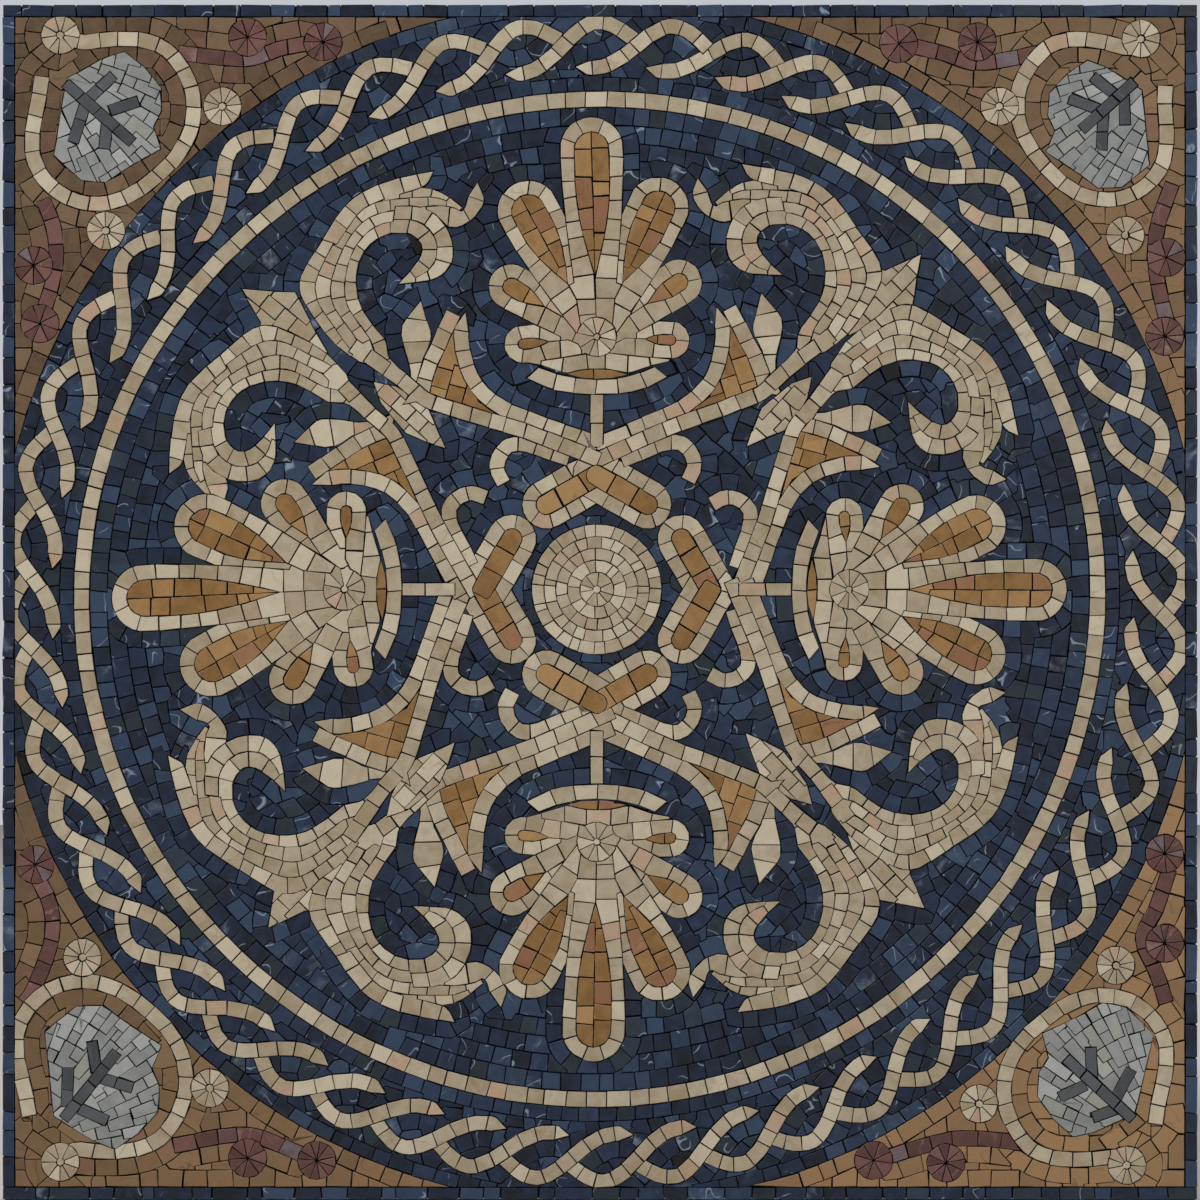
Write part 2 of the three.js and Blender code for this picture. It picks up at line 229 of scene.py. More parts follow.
def cut_strip(edge_a, edge_b, rows, length=12.0):
    """Several rows of stones between two edges that start at the same end, with staggered joints."""
    edges = smooth(edge_a), smooth(edge_b)
    count = int(max(lengths(edge)[-1] for edge in edges) / 2)
    a, b = (resample(edge, count) for edge in edges)
    lines = [a + (b - a) * (k / rows) for k in range(rows + 1)]
    return [stone for la, lb in zip(lines, lines[1:]) for stone in cut_row(la, lb, length)]


# %% Rounds and grids of stones
def round_outline(centre, radius, sides):
    return np.array([centre + on_clock(radius, c) for c in np.arange(sides) * 360 / sides])


def cut_wedges(centre, radius, wedges, hub=0.0):
    """A round of wedge stones, with a small round hub if one is given."""
    first = hand.uniform(0, 360)
    marks = [first + 360 / wedges * (i + hand.uniform(-0.16, 0.16)) for i in range(wedges)]
    marks.append(marks[0] + 360)
    stones = []
    for c0, c1 in zip(marks, marks[1:]):
        arc = [centre + on_clock(radius, c) for c in np.linspace(c0, c1, 4)]
        inner = [centre + on_clock(hub, c) for c in np.linspace(c1, c0, 2 if hub else 1)]
        stones.append(arc + inner)
    if hub:
        stones.append(round_outline(centre, hub, 6))
    return stones


def cut_grid(centre, clock, width, length, across, along):
    """Brick-like rows: rows of stones side by side, each row shifted against the last."""
    stones = []
    for i in range(-across, across + 1):
        y = hand.uniform(-0.5, 0.5) * length - along * length
        while y < along * length:
            step = length * hand.uniform(0.8, 1.25)
            x0, x1 = (i - 0.5) * width, (i + 0.5) * width
            stones.append(turn([[x0, y], [x1, y], [x1, y + step], [x0, y + step]], clock, shift=centre))
            y += step
    return stones


# %% [markdown]
# ## The ground rows
#
# Round every figure the ground stones first follow its outline in one row, which keeps the edge crisp, and
# the rest is filled behind it. The row round an outline is made from its offset. Where a corner turns
# inwards the offset crosses itself, so such stones are left out and the filling shows there.

# %% A row of ground stones round an outline
LEAST_OUTER_SIDE = 0.35


def area_of(outline):
    x, y = np.asarray(outline, float).T
    return 0.5 * float(np.dot(x, np.roll(y, -1)) - np.dot(y, np.roll(x, -1)))


def cut_round(outline, width=10.5, length=11.5):
    closed = even([*outline, outline[0]], 2.5)[:-1]
    if area_of(closed) > 0:
        closed = closed[::-1]
    near = np.roll(closed, hand.randrange(len(closed)), axis=0)
    along = np.roll(near, -1, axis=0) - np.roll(near, 1, axis=0)
    along /= np.maximum(np.hypot(*along.T), 1e-9)[:, None]
    out = near + np.column_stack([-along[:, 1], along[:, 0]]) * width
    kept = []
    for stone in cut_row(*(np.vstack([edge, edge[:1]]) for edge in (near, out)), length):
        k = len(stone) // 2
        inner, outer = np.subtract(stone[k - 1], stone[0]), np.subtract(stone[k], stone[-1])
        if inner @ outer > LEAST_OUTER_SIDE * (inner @ inner):
            kept.append(stone)
    return kept


def band_outline(points, width=ROW):
    line = even(smooth(points))
    return [*beside(line, width / 2), *beside(line, -width / 2)[::-1]]


# %% [markdown]
# ## The guilloche ring
#
# The ring is navy marble with a chain of fifty cream strands plaited round it. Each strand starts in a
# point at the inner side, swings out over its neighbour and stops against the next one, so the chain seems
# to go over and under. The strands lie flush in the navy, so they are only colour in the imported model. Rows
# of navy edge the ring on both sides.

# %% Lines of the ring
ARC_STEP = 2.4
RING_RADIUS = 383.8
RING_LINE = [320.5, 2.3, -5.5, -2.5, 1.1, -0.6, 1.1]
HALF_LINE = 5.05


def wave(parts, clock):
    """A hand-laid ring isn't round: its mean, then cosine and sine parts of one, two and three swells."""
    value = parts[0]
    for i, part in enumerate(parts[1:]):
        angle = math.radians(clock) * (i // 2 + 1)
        value += part * (math.sin(angle) if i % 2 else math.cos(angle))
    return value


def ring_line(offset):
    return lambda clock: wave(RING_LINE, clock) + offset


def circle(radius):
    return lambda clock: radius


def between(inner, outer, part):
    return lambda clock: inner(clock) + (outer(clock) - inner(clock)) * part


radii = [wave(RING_LINE, clock) for clock in range(0, 360, 5)]
print("the ring line is", round(min(radii)), "to", round(max(radii)), "mm from the panel's middle")

# %% Navy rows of the ring
EDGE_ROW = 8.6
LINE_ROW = 9
MIDDLE_ROWS = 4


def lay_ring(outer, inner, piece, length):
    """One row all round, between two radii that are given for each clock angle."""
    first = hand.randrange(int(360 / ARC_STEP)) * ARC_STEP
    marks = first + np.arange(0, 360 + ARC_STEP / 2, ARC_STEP)
    edges = [np.array([on_clock(radius(c), c) for c in marks]) for radius in (outer, inner)]
    lay_all(cut_row(*edges, length), piece)


outside, edge_row = circle(RING_RADIUS), circle(RING_RADIUS - EDGE_ROW)
line_row = ring_line(HALF_LINE + LINE_ROW)
for k in range(MIDDLE_ROWS):
    rows = [between(line_row, edge_row, part / MIDDLE_ROWS) for part in (k + 1, k)]
    lay_ring(*rows, "guilloche_ring", 11)
print("stones in the middle rows of the ring:", laid("guilloche"))

# %% Cream strands of the ring
CHAIN_RADIUS = [356.1, 1.2, -2.4, -1.9, 1.2, -0.6, 1.2]
CHAIN_START = [3.2, 0.8, 2.7, 0.8, -0.2]
CHAIN_HEIGHT = [0.94, 0, 0.075]
LINKS = 50
LINK = [
    [0, -14.6], [1.5, -16.2], [3.3, -14.6], [5.2, -7.6], [6.8, 1.9],
    [8.2, 10.2], [9.6, 15.3], [11, 14.9], [12.3, 10.8], [13.8, 4],
]

strands = []
for link in range(LINKS):
    spot = 360 / LINKS * link
    start = spot + wave(CHAIN_START, spot)
    height = wave(CHAIN_HEIGHT, spot)
    radius = wave(CHAIN_RADIUS, spot)
    strands.append([on_clock(radius + rise * height, start + clock) for clock, rise in LINK])
for strand in strands:
    lay_all(cut_round(band_outline(strand)), "guilloche_ring")
lay_ring(outside, edge_row, "guilloche_ring", 14)
lay_ring(line_row, ring_line(HALF_LINE), "guilloche_ring", 11.5)
for strand in strands:
    lay_all(cut_band(strand, length=11.5, taper=(9, 0)), "guilloche_strands")
print("stones so far:", len(layout))

# %% [markdown]
# ## The four corners
#
# Each corner is ochre marble in rows that run with the borders, with a row along the ring. On it lie a
# cream loop that grows from a small round of wedges, a white leaf with grey veins in the loop, two more
# cream rounds, and two rose sprays. The corners were laid by eye and differ, so each has its own places,
# read from the panel's corner along the top or bottom edge and then along the side.

# %% Places in the corners
LOOP = [
    [49.5, 27], [66.5, 25.5], [86, 26.5], [101.5, 33], [112.5, 47], [118, 64], [116.5, 82.5], [108, 99],
    [94, 113], [77.5, 124.5], [58.5, 130], [39.5, 127], [24, 116], [15.5, 100], [15.5, 81], [19.5, 64.5],
    [22, 48],
]
LEAF_ROOT = [16, 22]
LEAF = [
    [39, 46], [62, 33.5], [74, 30], [86, 39.5], [96, 52], [96, 66], [91, 75], [95.5, 88.5], [74, 100.5],
    [62, 108.5], [47.5, 107], [31, 92], [34.5, 72.5],
]
CORNERS = {
    "nw": {
        "signs": (-1, 1),
        "loop": {"clock": 1.4, "shift": (2, -1.7)},
        "leaf": {"clock": 0.5, "size": 1.06, "shift": (-1, -1)},
        "veins": [
            [[53, 62], [71, 45]], [[54, 60], [45, 88]], [[68, 68], [87, 61.5]],
            [[67, 72], [65, 92]], [[40, 50], [83, 88]],
        ],
        "loop_rosette": [37, 19.5],
        "rosettes": [[140, 65], [66, 144]],
        "sprays": [
            ([[112, 31], [154, 35], [177, 28], [194, 25]], [[204, 24], [156, 21]]),
            ([[26, 124], [33, 143], [34, 168], [26, 197]], [[24, 203], [20, 166]]),
        ],
    },
    "ne": {
        "signs": (1, 1),
        "loop": {"clock": 9, "size": 0.95, "shift": (-7, 10)},
        "leaf": {"clock": 4, "size": 1.03, "shift": (-8, 10)},
        "veins": [
            [[53, 57], [67, 46]], [[47, 57], [46, 77]], [[62, 67], [82, 60]],
            [[60, 69], [61, 93]], [[40, 49], [74, 80]],
        ],
        "loop_rosette": [36, 22],
        "rosettes": [[126, 65], [46, 147]],
        "sprays": [
            ([[101, 31], [139, 37.5], [162, 31], [180, 27]], [[190, 25], [140, 24]]),
            ([[16, 114], [26, 143], [26, 173], [19, 204]], [[21, 211], [20, 161]]),
        ],
    },
    "se": {
        "signs": (1, -1),
        "loop": {"shift": (5, 0)},
        "leaf": {"clock": -3.5, "size": 1.1, "shift": (0, 2)},
        "veins": [
            [[51, 58], [67, 52]], [[52, 65], [42, 83]], [[71, 73], [88, 65]],
            [[67, 77], [68, 97]], [[41, 51], [84, 90]],
        ],
        "loop_rosette": [45, 22],
        "rosettes": [[139, 61], [52, 149]],
        "sprays": [
            ([[112, 36], [139, 39], [162, 37.5], [198, 27]], [[206, 25], [160, 23.5]]),
            ([[20, 125], [26, 144], [35, 166], [26, 186], [18, 210]], [[21, 220], [21, 163]]),
        ],
    },
    "sw": {
        "signs": (-1, -1),
        "loop": {"clock": -0.8, "size": 1.04, "shift": (-5, 3)},
        "leaf": {"clock": 3.8, "size": 1.16, "shift": (-16, 3)},
        "veins": [
            [[49, 58], [67, 50]], [[41, 59], [42, 84]], [[61, 78], [83, 71]],
            [[60, 81], [57, 101]], [[39, 51], [73, 94]],
        ],
        "loop_rosette": [37, 24],
        "rosettes": [[132, 71], [51, 154]],
        "sprays": [
            ([[109, 34], [137, 40], [161, 40.5], [190, 29]], [[200, 25], [156, 26.5]]),
            ([[14, 125], [20, 134], [31, 163], [31, 186], [22, 206]], [[21, 213]]),
        ],
    },
}

# %% Ground of a corner
BORDER = 7.6
FIELDS_HALF = HALF - BORDER - 0.5
ROSETTE_RADIUS = 12.3
CORNER_ROW = 10.8
CORNER_ROWS = 20
FIRST_ROW = 8.1
ROWS_END = 300
INNER_ROW = 10


def cut_ground(spots):
    """The ochre rows along both borders, and a row round each figure on them."""
    ground = []
    for k in range(CORNER_ROWS):
        near, far = FIRST_ROW + CORNER_ROW * k, FIRST_ROW + CORNER_ROW * (k + 1)
        edges = [level_line(np.arange(near, ROWS_END, 4.0), height) for height in (near, far)]
        for row in ([edge[:, ::-1] for edge in edges], edges):
            ground += cut_row(*row, 15, uneven=0.3)
    for spot in [*spots["rosettes"], spots["loop_rosette"]]:
        ground += cut_round(round_outline(spot, ROSETTE_RADIUS, 18), CORNER_ROW, 14)
    for stem, rounds in spots["sprays"]:
        ground += cut_round(band_outline(stem), CORNER_ROW, 15)
    loop = turn(LOOP, **spots["loop"])
    closed_loop = even(smooth([*loop, loop[0]]))
    inward = 1 if area_of(closed_loop) > 0 else -1
    for way, width, length in ((-inward, CORNER_ROW, 14), (inward, INNER_ROW, 15)):
        edges = [beside(closed_loop, way * (ROW / 2 + reach)) for reach in (0, width)]
        ground += cut_row(*edges, length)
    return ground


# %% Edge of a corner
ARC_ROW = 10.5
CORNER_ARC = math.degrees(math.acos(FIELDS_HALF / RING_RADIUS))


def lay_ground(corner, spots, from_corner):
    """A corner's ground, with a row along the ring, trimmed to the corner's three sides."""
    side = np.array(spots["signs"])
    ground = [from_corner(stone) for stone in cut_ground(spots)]
    row_arc = np.array([on_clock(RING_RADIUS, c) for c in np.arange(12, 79, ARC_STEP)])
    row_out = row_arc * (RING_RADIUS + ARC_ROW) / RING_RADIUS
    ground += [np.array(stone) * side for stone in cut_row(row_arc, row_out, 15, uneven=0.3)]
    marks = [c for c in np.arange(0, 90, ARC_STEP) if CORNER_ARC < c < 90 - CORNER_ARC]
    arc = np.array([on_clock(RING_RADIUS, c) for c in (CORNER_ARC, *marks, 90 - CORNER_ARC)])
    rim = np.vstack([arc, [[FIELDS_HALF, FIELDS_HALF]]]) * side
    lay_shape(rim, f"corner_field_{corner}", ground)


print("the ring cuts a corner from", round(CORNER_ARC, 1), "to", round(90 - CORNER_ARC, 1), "on the clock")

# %% Sprays, loop and rounds of a corner
ROSETTE_HUB = 2.6


def lay_figures(corner, spots, from_corner):
    for i, (stem, rounds) in enumerate(spots["sprays"], 1):
        lay_all(cut_band(stem, length=14), f"spray_{corner}_{i}", from_corner)
        for spot in rounds:
            wedges = cut_wedges(spot, ROSETTE_RADIUS, hand.choice([8, 9, 10, 11]))
            lay_all(wedges, f"spray_{corner}_{i}", from_corner)
    loop_line = even(smooth([spots["loop_rosette"], *turn(LOOP, **spots["loop"])]))
    row = cut_row(beside(loop_line, ROW / 2), beside(loop_line, -ROW / 2), 12.5)
    lay_all(row, f"corner_loop_{corner}", from_corner)
    names = [f"corner_loop_{corner}", f"rosette_{corner}_1", f"rosette_{corner}_2"]
    for spot, name in zip([spots["loop_rosette"], *spots["rosettes"]], names):
        lay_all(cut_wedges(spot, ROSETTE_RADIUS, hand.choice([9, 10, 11]), ROSETTE_HUB), name, from_corner)


# %% Leaf of a corner
RAY_RINGS = 9
RAY_LENGTH = 16.5
RAY_WIDTH = 7.4
RAY_SHIFT = 8
RAY_FIRST = 3
RAY_FAN = 84
VEIN_WIDTH = 7.2


def lay_leaf(corner, spots, from_corner):
    """White stones in rays from the leaf's root, trimmed to the leaf, with grey veins over them."""
    rays = []
    root = turn([LEAF_ROOT], **spots["leaf"])[0]
    for k in range(RAY_RINGS):
        near, far = RAY_LENGTH * k, RAY_LENGTH * (k + 1)
        wide = max(3, round(math.radians(RAY_FAN) * (near + far) / 2 / RAY_WIDTH))
        marks = [RAY_FIRST + RAY_FAN * (i + hand.uniform(-0.1, 0.1)) / wide for i in range(wide + 1)]
        for i, (c0, c1) in enumerate(zip(marks, marks[1:])):
            shift = (i % 2) * RAY_SHIFT
            places = (near, c0), (far, c0), (far, c1), (near, c1)
            rays.append([root + on_clock(radius + shift, c) for radius, c in places])
    leaf = turn(LEAF, **spots["leaf"])
    lay_shape(from_corner(leaf), f"corner_leaf_{corner}", [from_corner(stone) for stone in rays])
    for vein in spots["veins"]:
        lay_all(cut_band(vein, VEIN_WIDTH, 15), f"leaf_veins_{corner}", from_corner)


# %% Lay the corners
for corner, spots in CORNERS.items():
    def from_corner(points, side=np.array(spots["signs"])):
        return side * (HALF - np.asarray(points, float))

    lay_ground(corner, spots, from_corner)
    lay_figures(corner, spots, from_corner)
    lay_leaf(corner, spots, from_corner)
print("stones so far:", len(layout))

# %% [markdown]
# ## The border
#
# A single row of long navy stones frames the panel. Their outer sides are the panel's sides, so they are sawn
# straight, and only the joints between them vary.

# %% Border stones
BORDER_INSIDE = HALF - BORDER - 0.25
for name, sign in (("top", 1), ("bottom", -1)):
    x = np.arange(-HALF, HALF + 1, 4.0)
    edges = [level_line(x, sign * height) for height in (HALF, BORDER_INSIDE)]
    lay_all(cut_row(*edges, 17, uneven=0.3), f"border_{name}")
for name, sign in (("left", -1), ("right", 1)):
    z = np.linspace(-BORDER_INSIDE, BORDER_INSIDE, 190)
    edges = [level_line(z, sign * height)[:, ::-1] for height in (HALF, BORDER_INSIDE)]
    lay_all(cut_row(*edges, 17, uneven=0.3), f"border_{name}")
print("border stones:", laid("border"))

# %% [markdown]
# ## The field
#
# Inside the cream ring line the ground is navy again. Its rows follow the ring line at the rim and the
# figures near them. The filling between is in rings too, which gives the slightly restless look of
# hand-laid stone.

# %% Ground rows of the field
FIELD_CENTRE = [-2, 8]
FIELD_ROW = 11.2
FIELD_ROWS = 28

for k in range(FIELD_ROWS):
    rows = [ring_line(-HALF_LINE - FIELD_ROW * part) for part in (k, k + 1)]
    lay_ring(*rows, "field_ground", 11.5)


def in_field(points, clock=0):
    return turn(points, clock, shift=FIELD_CENTRE)


print("stones in", FIELD_ROWS, "rings of ground:", laid("field_ground"))

# %% [markdown]
# ## Palmettes, knots and the centre
#
# A palmette is seven petals that spread from a round of wedges. Every petal has a cream rim of one row and
# an ochre drop inside it. The middle petal was laid first, so it lies over its neighbours. Under the fan
# are two arched rows with a flat lens between them, and a stem one stone wide. Each knot is an ochre V in a
# cream rim, where the scrolls tie together round the centre disc.

# %% Places in the palmettes
PALMETTE_RADIUS = 160.5
PALMETTE_HEART = 9
PALMETTES = {
    "n": {"turn": 0, "lean": -1.6, "size": 1},
    "e": {"turn": 90, "lean": 0.2, "size": 0.99},
    "s": {"turn": 180, "lean": 1, "size": 1},
    "w": {"turn": 270, "lean": -2.5, "size": 1.06},
}
PETALS = [
    {"clock": 94, "length": 59.1, "half": 12.1, "drop": 3.5, "drop_from": 30.5, "columns": 1},
    {"clock": 58, "length": 77.5, "half": 14.6, "drop": 5.7, "drop_from": 38.8, "columns": 1},
    {"clock": 27, "length": 110.6, "half": 19.7, "drop": 10.8, "drop_from": 38.8, "columns": 2},
    {"clock": 0, "length": 139.8, "half": 20.3, "drop": 11.1, "drop_from": 38.8, "columns": 2},
]
ARCH_LOWER = [[-45, 134.5], [-30, 127.6], [-15, 124.6], [0, 123.8], [15, 124.6], [30, 127.6], [45, 134.8]]
ARCH_UPPER = [[-37, 141.5], [-24, 136.6], [-12, 134], [0, 133.2], [12, 134], [24, 136.6], [37, 141.5]]
UPPER_LOWER = [
    [-46, 144.5], [-34, 142], [-20, 137.6], [-10, 139.6], [0, 140.2], [10, 139.6], [20, 137.6], [34, 142],
    [46, 145],
]
UPPER_TOP = [[-50, 152], [0, 150.5], [50, 152]]
LENS = {"y": 136.9, "half": 20, "thick": 3}
STEM = {"width": 8.3, "from": 90, "to": 126}

petals = []
for petal in PETALS:
    for side in (-1, 1) if petal["clock"] else (1,):
        petals.append({**petal, "clock": side * petal["clock"]})
print("petals of a palmette, as they are laid:", [petal["clock"] for petal in petals])

# %% Outlines of a petal
RIM_PACE = 0.9
DROP_PACE = 1.3


def swell(part, pace):
    """How a petal's side widens from its heart: fast at first, then hardly."""
    return np.sin(np.clip(part * pace, 0, 1) * math.pi / 2)


def petal_edges(length, half, drop, drop_from, **_):
    """The outer edge of a petal's rim and its inner edge, from the heart up one side and down the other."""
    top = length - half
    up = np.linspace(0, top, int(top / 2) + 1)
    outer = np.column_stack([-PALMETTE_HEART - (half - PALMETTE_HEART) * swell(up / top, RIM_PACE), up])
    inner = np.column_stack([-drop * swell((up - drop_from) / (top - drop_from), DROP_PACE), up])
    tip = np.radians(np.linspace(180, 0, 15))[1:-1]
    edges = []
    for side, radius in ((outer, half), (inner, drop)):
        arc = np.column_stack([radius * np.cos(tip), top + radius * np.sin(tip)])
        edges.append(np.vstack([side, arc, side[::-1] * [-1, 1]]))
    return edges


def petal_drop(length, half, drop, drop_from, columns, **_):
    """The ochre stones inside a petal, a little larger than their place, because the rim is cut over them."""
    top, spread = length - half, 0.8
    up = np.linspace(drop_from - 2, top + drop + spread, 30)
    wide = drop * swell((up - drop_from) / (top - drop_from), DROP_PACE)
    wide = np.where(up >= top, np.sqrt(np.maximum(drop**2 - (up - top) ** 2, 0)), wide)
    wide = np.maximum(wide, 0) + spread
    lines = [np.column_stack([wide * (2 * k / columns - 1), up]) for k in range(columns + 1)]
    return [stone for la, lb in zip(lines, lines[1:]) for stone in cut_row(la, lb, 15, uneven=0.3)]


# %% Places of the knots and the disc
DISC_RADIUS = 41.5
DISC_RINGS = [(DISC_RADIUS, 33.6, 28), (33.6, 26.2, 23), (26.2, 18.8, 18), (18.8, 11, 13), (11, 2.4, 10)]
KNOT = {"apex": 72.4, "lobe": [32, 54], "radius": 15.6, "inner": 6.7}


def capsule(a, b, radius, steps=10):
    """The outline of a thick line between two points, closed."""
    a, b = np.array(a, float), np.array(b, float)
    heading = math.degrees(math.atan2(*(b - a)))
    far = [b + on_clock(radius, heading + c) for c in np.linspace(-90, 90, steps)]
    back = [a + on_clock(radius, heading + c) for c in np.linspace(90, 270, steps)]
    return np.array([*far, *back])


print("the disc takes", 1 + sum(count for _, _, count in DISC_RINGS), "stones")

# %% [markdown]
# ## The scrolls
#
# Four scrolls stand on the diagonals, each of two mirrored halves that were laid by eye and differ a
# little. A half starts in two tendrils at the knots, swells into a body four rows wide, bends round and
# ends in a curl, with a collar, a tongue, a spear and a hook beside it. An ochre husk fills the fork. Where
# a form widens from a point, the rows are cut from a strip between its two edges, so the stones narrow
# towards the tip as real ones do. All its points are read from the field's centre.

# %% Tendrils, husk, hook and spear of half a scroll
TENDRIL = [[-3, 81.5], [42.5, 101.5], [75, 113], [88.5, 118], [105, 124.5], [120.5, 138.5], [150, 161]]
TENDRIL_TOP = [
    [-3, 91.5], [36, 107.5], [55, 116], [67, 125], [74.5, 135], [79, 148], [81, 164], [77.5, 179.5],
]
HUSK = [[83, 176], [93, 160], [100, 146], [106, 128], [82, 116], [60, 113], [72, 122], [79, 140], [80, 160]]
HUSK_RIM = [[85, 178.5], [91, 168], [95.5, 158.5], [100.5, 149.5], [105, 138], [108, 126]]
HOOK = [[16, 83], [30, 88], [42, 93], [53, 93.5], [60, 87], [62, 78], [58, 69]]
SPEAR_LEFT = [[105.5, 188], [103, 178], [100, 167], [101.5, 159], [106.5, 148], [104.5, 134], [108, 124]]
SPEAR_RIGHT = [[105.5, 188], [111, 181], [118.5, 171], [117.5, 158], [114, 143], [116, 128], [120, 122]]

# %% Body, leaf, tongue and curl of half a scroll
BODY_INNER = [
    [118, 142], [127, 152], [129, 163], [136, 172.5], [143, 184], [146, 197], [145, 209], [141, 219],
    [133, 227], [123, 231], [112, 231.5], [101, 234], [90, 238.5], [78, 243.5],
]
BODY_OUTER = [
    [146, 150], [161, 162], [172, 177], [181, 193], [181, 206], [173, 219], [165, 230], [157, 240],
    [148, 250], [136, 257], [122, 259.5], [108, 259.5], [95, 258], [85, 252.5], [76.5, 245.5],
]
LEAF_OUTER = [[166, 229], [158, 241], [149, 251.5], [138, 258.8], [125, 263.7], [110, 267], [93.5, 269.5]]
LEAF_INNER = [
    [157, 225.5], [149.5, 236], [142, 245], [133, 250.5], [121, 254], [107, 257.5], [98.5, 261],
    [93.5, 269.5],
]
TONGUE_OUTER = [[97, 234], [88, 233.5], [81, 232.5], [72.5, 236], [65.5, 243], [62.5, 250.5], [66, 261]]
TONGUE_INNER = [[97, 247], [89, 246.5], [82, 245.5], [77, 243], [74.5, 245.5], [72.5, 252], [66, 261]]
CURL_INNER = [[122, 231], [112, 230.5], [104.5, 225], [103.5, 218], [109, 209], [119.5, 198.5]]
CURL_OUTER = [
    [119, 248], [106, 247.5], [94, 242], [86.5, 232], [83.5, 220], [86, 208.5], [97, 200.5],
    [119.5, 198.5],
]

# %% Crest and spearhead between the halves
CREST = [
    [160, 160], [168, 178], [178, 203], [184, 201], [193, 205.5], [207, 211.5], [204, 196], [201, 177],
    [178, 168],
]
SPEARHEAD = [
    [94, 93], [98, 104], [104, 119], [112, 126], [124, 134], [138, 137.5], [134, 124], [125, 112],
    [119, 104], [105, 97],
]

# %% Where the eight halves lie
SCROLLS = {
    "ne": (0, (-0.6, 1.005, (0.6, -1.3)), (-2.4, 0.982, (8, -5.3))),
    "se": (90, (1.2, 0.984, (4.7, 4.8)), (1.5, 1.009, (1.5, 5.1))),
    "sw": (180, (-0.4, 1.05, (6.7, 7.9)), (-2.8, 1.038, (2.4, 5))),
    "nw": (270, (-5.8, 0.995, (4.7, 8)), (-2.6, 1.002, (2.6, 0.8))),
}


def half_scrolls():
    """Each half's scroll, whether it is the mirrored one, and the rule that puts a drawn point in its place.
    A scroll has its quarter of the clock, and then each half's own small turn, size and shift."""
    for name, (quarter, *halves) in SCROLLS.items():
        for mirrored, own in enumerate(halves):
            def put(points, quarter=quarter, mirrored=mirrored, own=own):
                points = np.asarray(points, float)
                return turn(in_field(points[:, ::-1] if mirrored else points, quarter), *own)
            yield name, mirrored, put


print("half scrolls:", [name + ("_mirrored" if mirrored else "") for name, mirrored, _ in half_scrolls()])

# %% [markdown]
# ## Laying the figures of the field
#
# Every figure first gets its own row of ground stones. The figures come after all of these rows, because a
# ground row must never lie over a neighbouring figure. The lowest figures are laid first: the rims of the
# knots, the scrolls that spring from them, the palmettes, and the hearts of the knots and the disc last.

# %% Ground rows round the scrolls
STRIPS = [
    (BODY_INNER, BODY_OUTER, 4, 11), (LEAF_INNER, LEAF_OUTER, 1, 12.5),
    (TONGUE_INNER, TONGUE_OUTER, 1, 12), (CURL_INNER, CURL_OUTER, 2, 10.5),
    (SPEAR_LEFT, SPEAR_RIGHT, 1, 14),
]


def strip_outline(edge_a, edge_b):
    return [*even(smooth(edge_a)), *even(smooth(edge_b))[::-1]]


for name, mirrored, put in half_scrolls():
    outlines = [band_outline(band) for band in (TENDRIL, TENDRIL_TOP, HUSK_RIM, HOOK)]
    outlines += [strip_outline(*edges) for *edges, rows, length in STRIPS]
    for outline in (*outlines, SPEARHEAD if mirrored else CREST):
        lay_all(cut_round(put(outline)), "field_ground")
print("ground stones with the scrolls' rows:", laid("field_ground"))

# %% Ground rows round the palmettes and knots, and the ring line
def palmettes():
    """Each palmette's name, the rule that turns a point to its side, and the rule that stands it there."""
    for name, spot in PALMETTES.items():
        def face(points, spot=spot):
            return in_field(points, spot["turn"])

        def stand(points, spot=spot, face=face):
            return face(turn(points, spot["lean"], spot["size"], (0, PALMETTE_RADIUS)))
        yield name, face, stand


lobes = [([0, KNOT["apex"]], [side * KNOT["lobe"][0], KNOT["lobe"][1]]) for side in (-1, 1)]
for name, face, stand in palmettes():
    outlines = [stand(turn(petal_edges(**petal)[0], petal["clock"])) for petal in petals]
    outlines.append(face(strip_outline(ARCH_UPPER, ARCH_LOWER)))
    outlines += [face(capsule(*lobe, KNOT["radius"])) for lobe in lobes]
    for outline in outlines:
        lay_all(cut_round(outline), "field_ground")
lay_ring(ring_line(-HALF_LINE), ring_line(-HALF_LINE - FIELD_ROW), "field_ground", 11.5)
lay_ring(ring_line(HALF_LINE), ring_line(-HALF_LINE), "ring_line", 13)
print("ground stones in all:", laid("field_ground"), "in the ring line:", laid("ring_line"))

# %% Rims of the knots
for name, face, stand in palmettes():
    for lobe in lobes:
        edges = [capsule(*lobe, radius) for radius in (KNOT["radius"], KNOT["inner"])]
        edges = [np.vstack([edge[15:], edge[:16]]) for edge in edges]
        lay_all(cut_row(*edges, 11), f"knot_{name}", face)
print("stones in the rims of the knots:", laid("knot"))

# %% Stones of the scrolls
for name, mirrored, put in half_scrolls():
    cream, ochre = f"scroll_{name}", f"scroll_{name}_husks"
    if mirrored:
        stones = cut_grid([115, 115], clock=45, width=9.8, length=13, across=4, along=4)
        lay_shape(put(SPEARHEAD), f"spearhead_{name}", [put(stone) for stone in stones])
    else:
        stones = cut_grid([185, 185], clock=45, width=10.2, length=12.5, across=4, along=4)
        lay_shape(put(CREST), cream, [put(stone) for stone in stones])
    stones = cut_grid([92, 145], clock=-18, width=11, length=15, across=6, along=5)
    lay_shape(put(HUSK), ochre, [put(stone) for stone in stones])
    parts = [cut_strip(*strip) for strip in STRIPS]
    parts += [cut_band(HOOK, length=10.5), cut_band(HUSK_RIM, length=12)]
    parts += [cut_band(TENDRIL_TOP, taper=(0, 12)), cut_band(TENDRIL)]
    for stones in parts:
        lay_all(stones, cream, put)
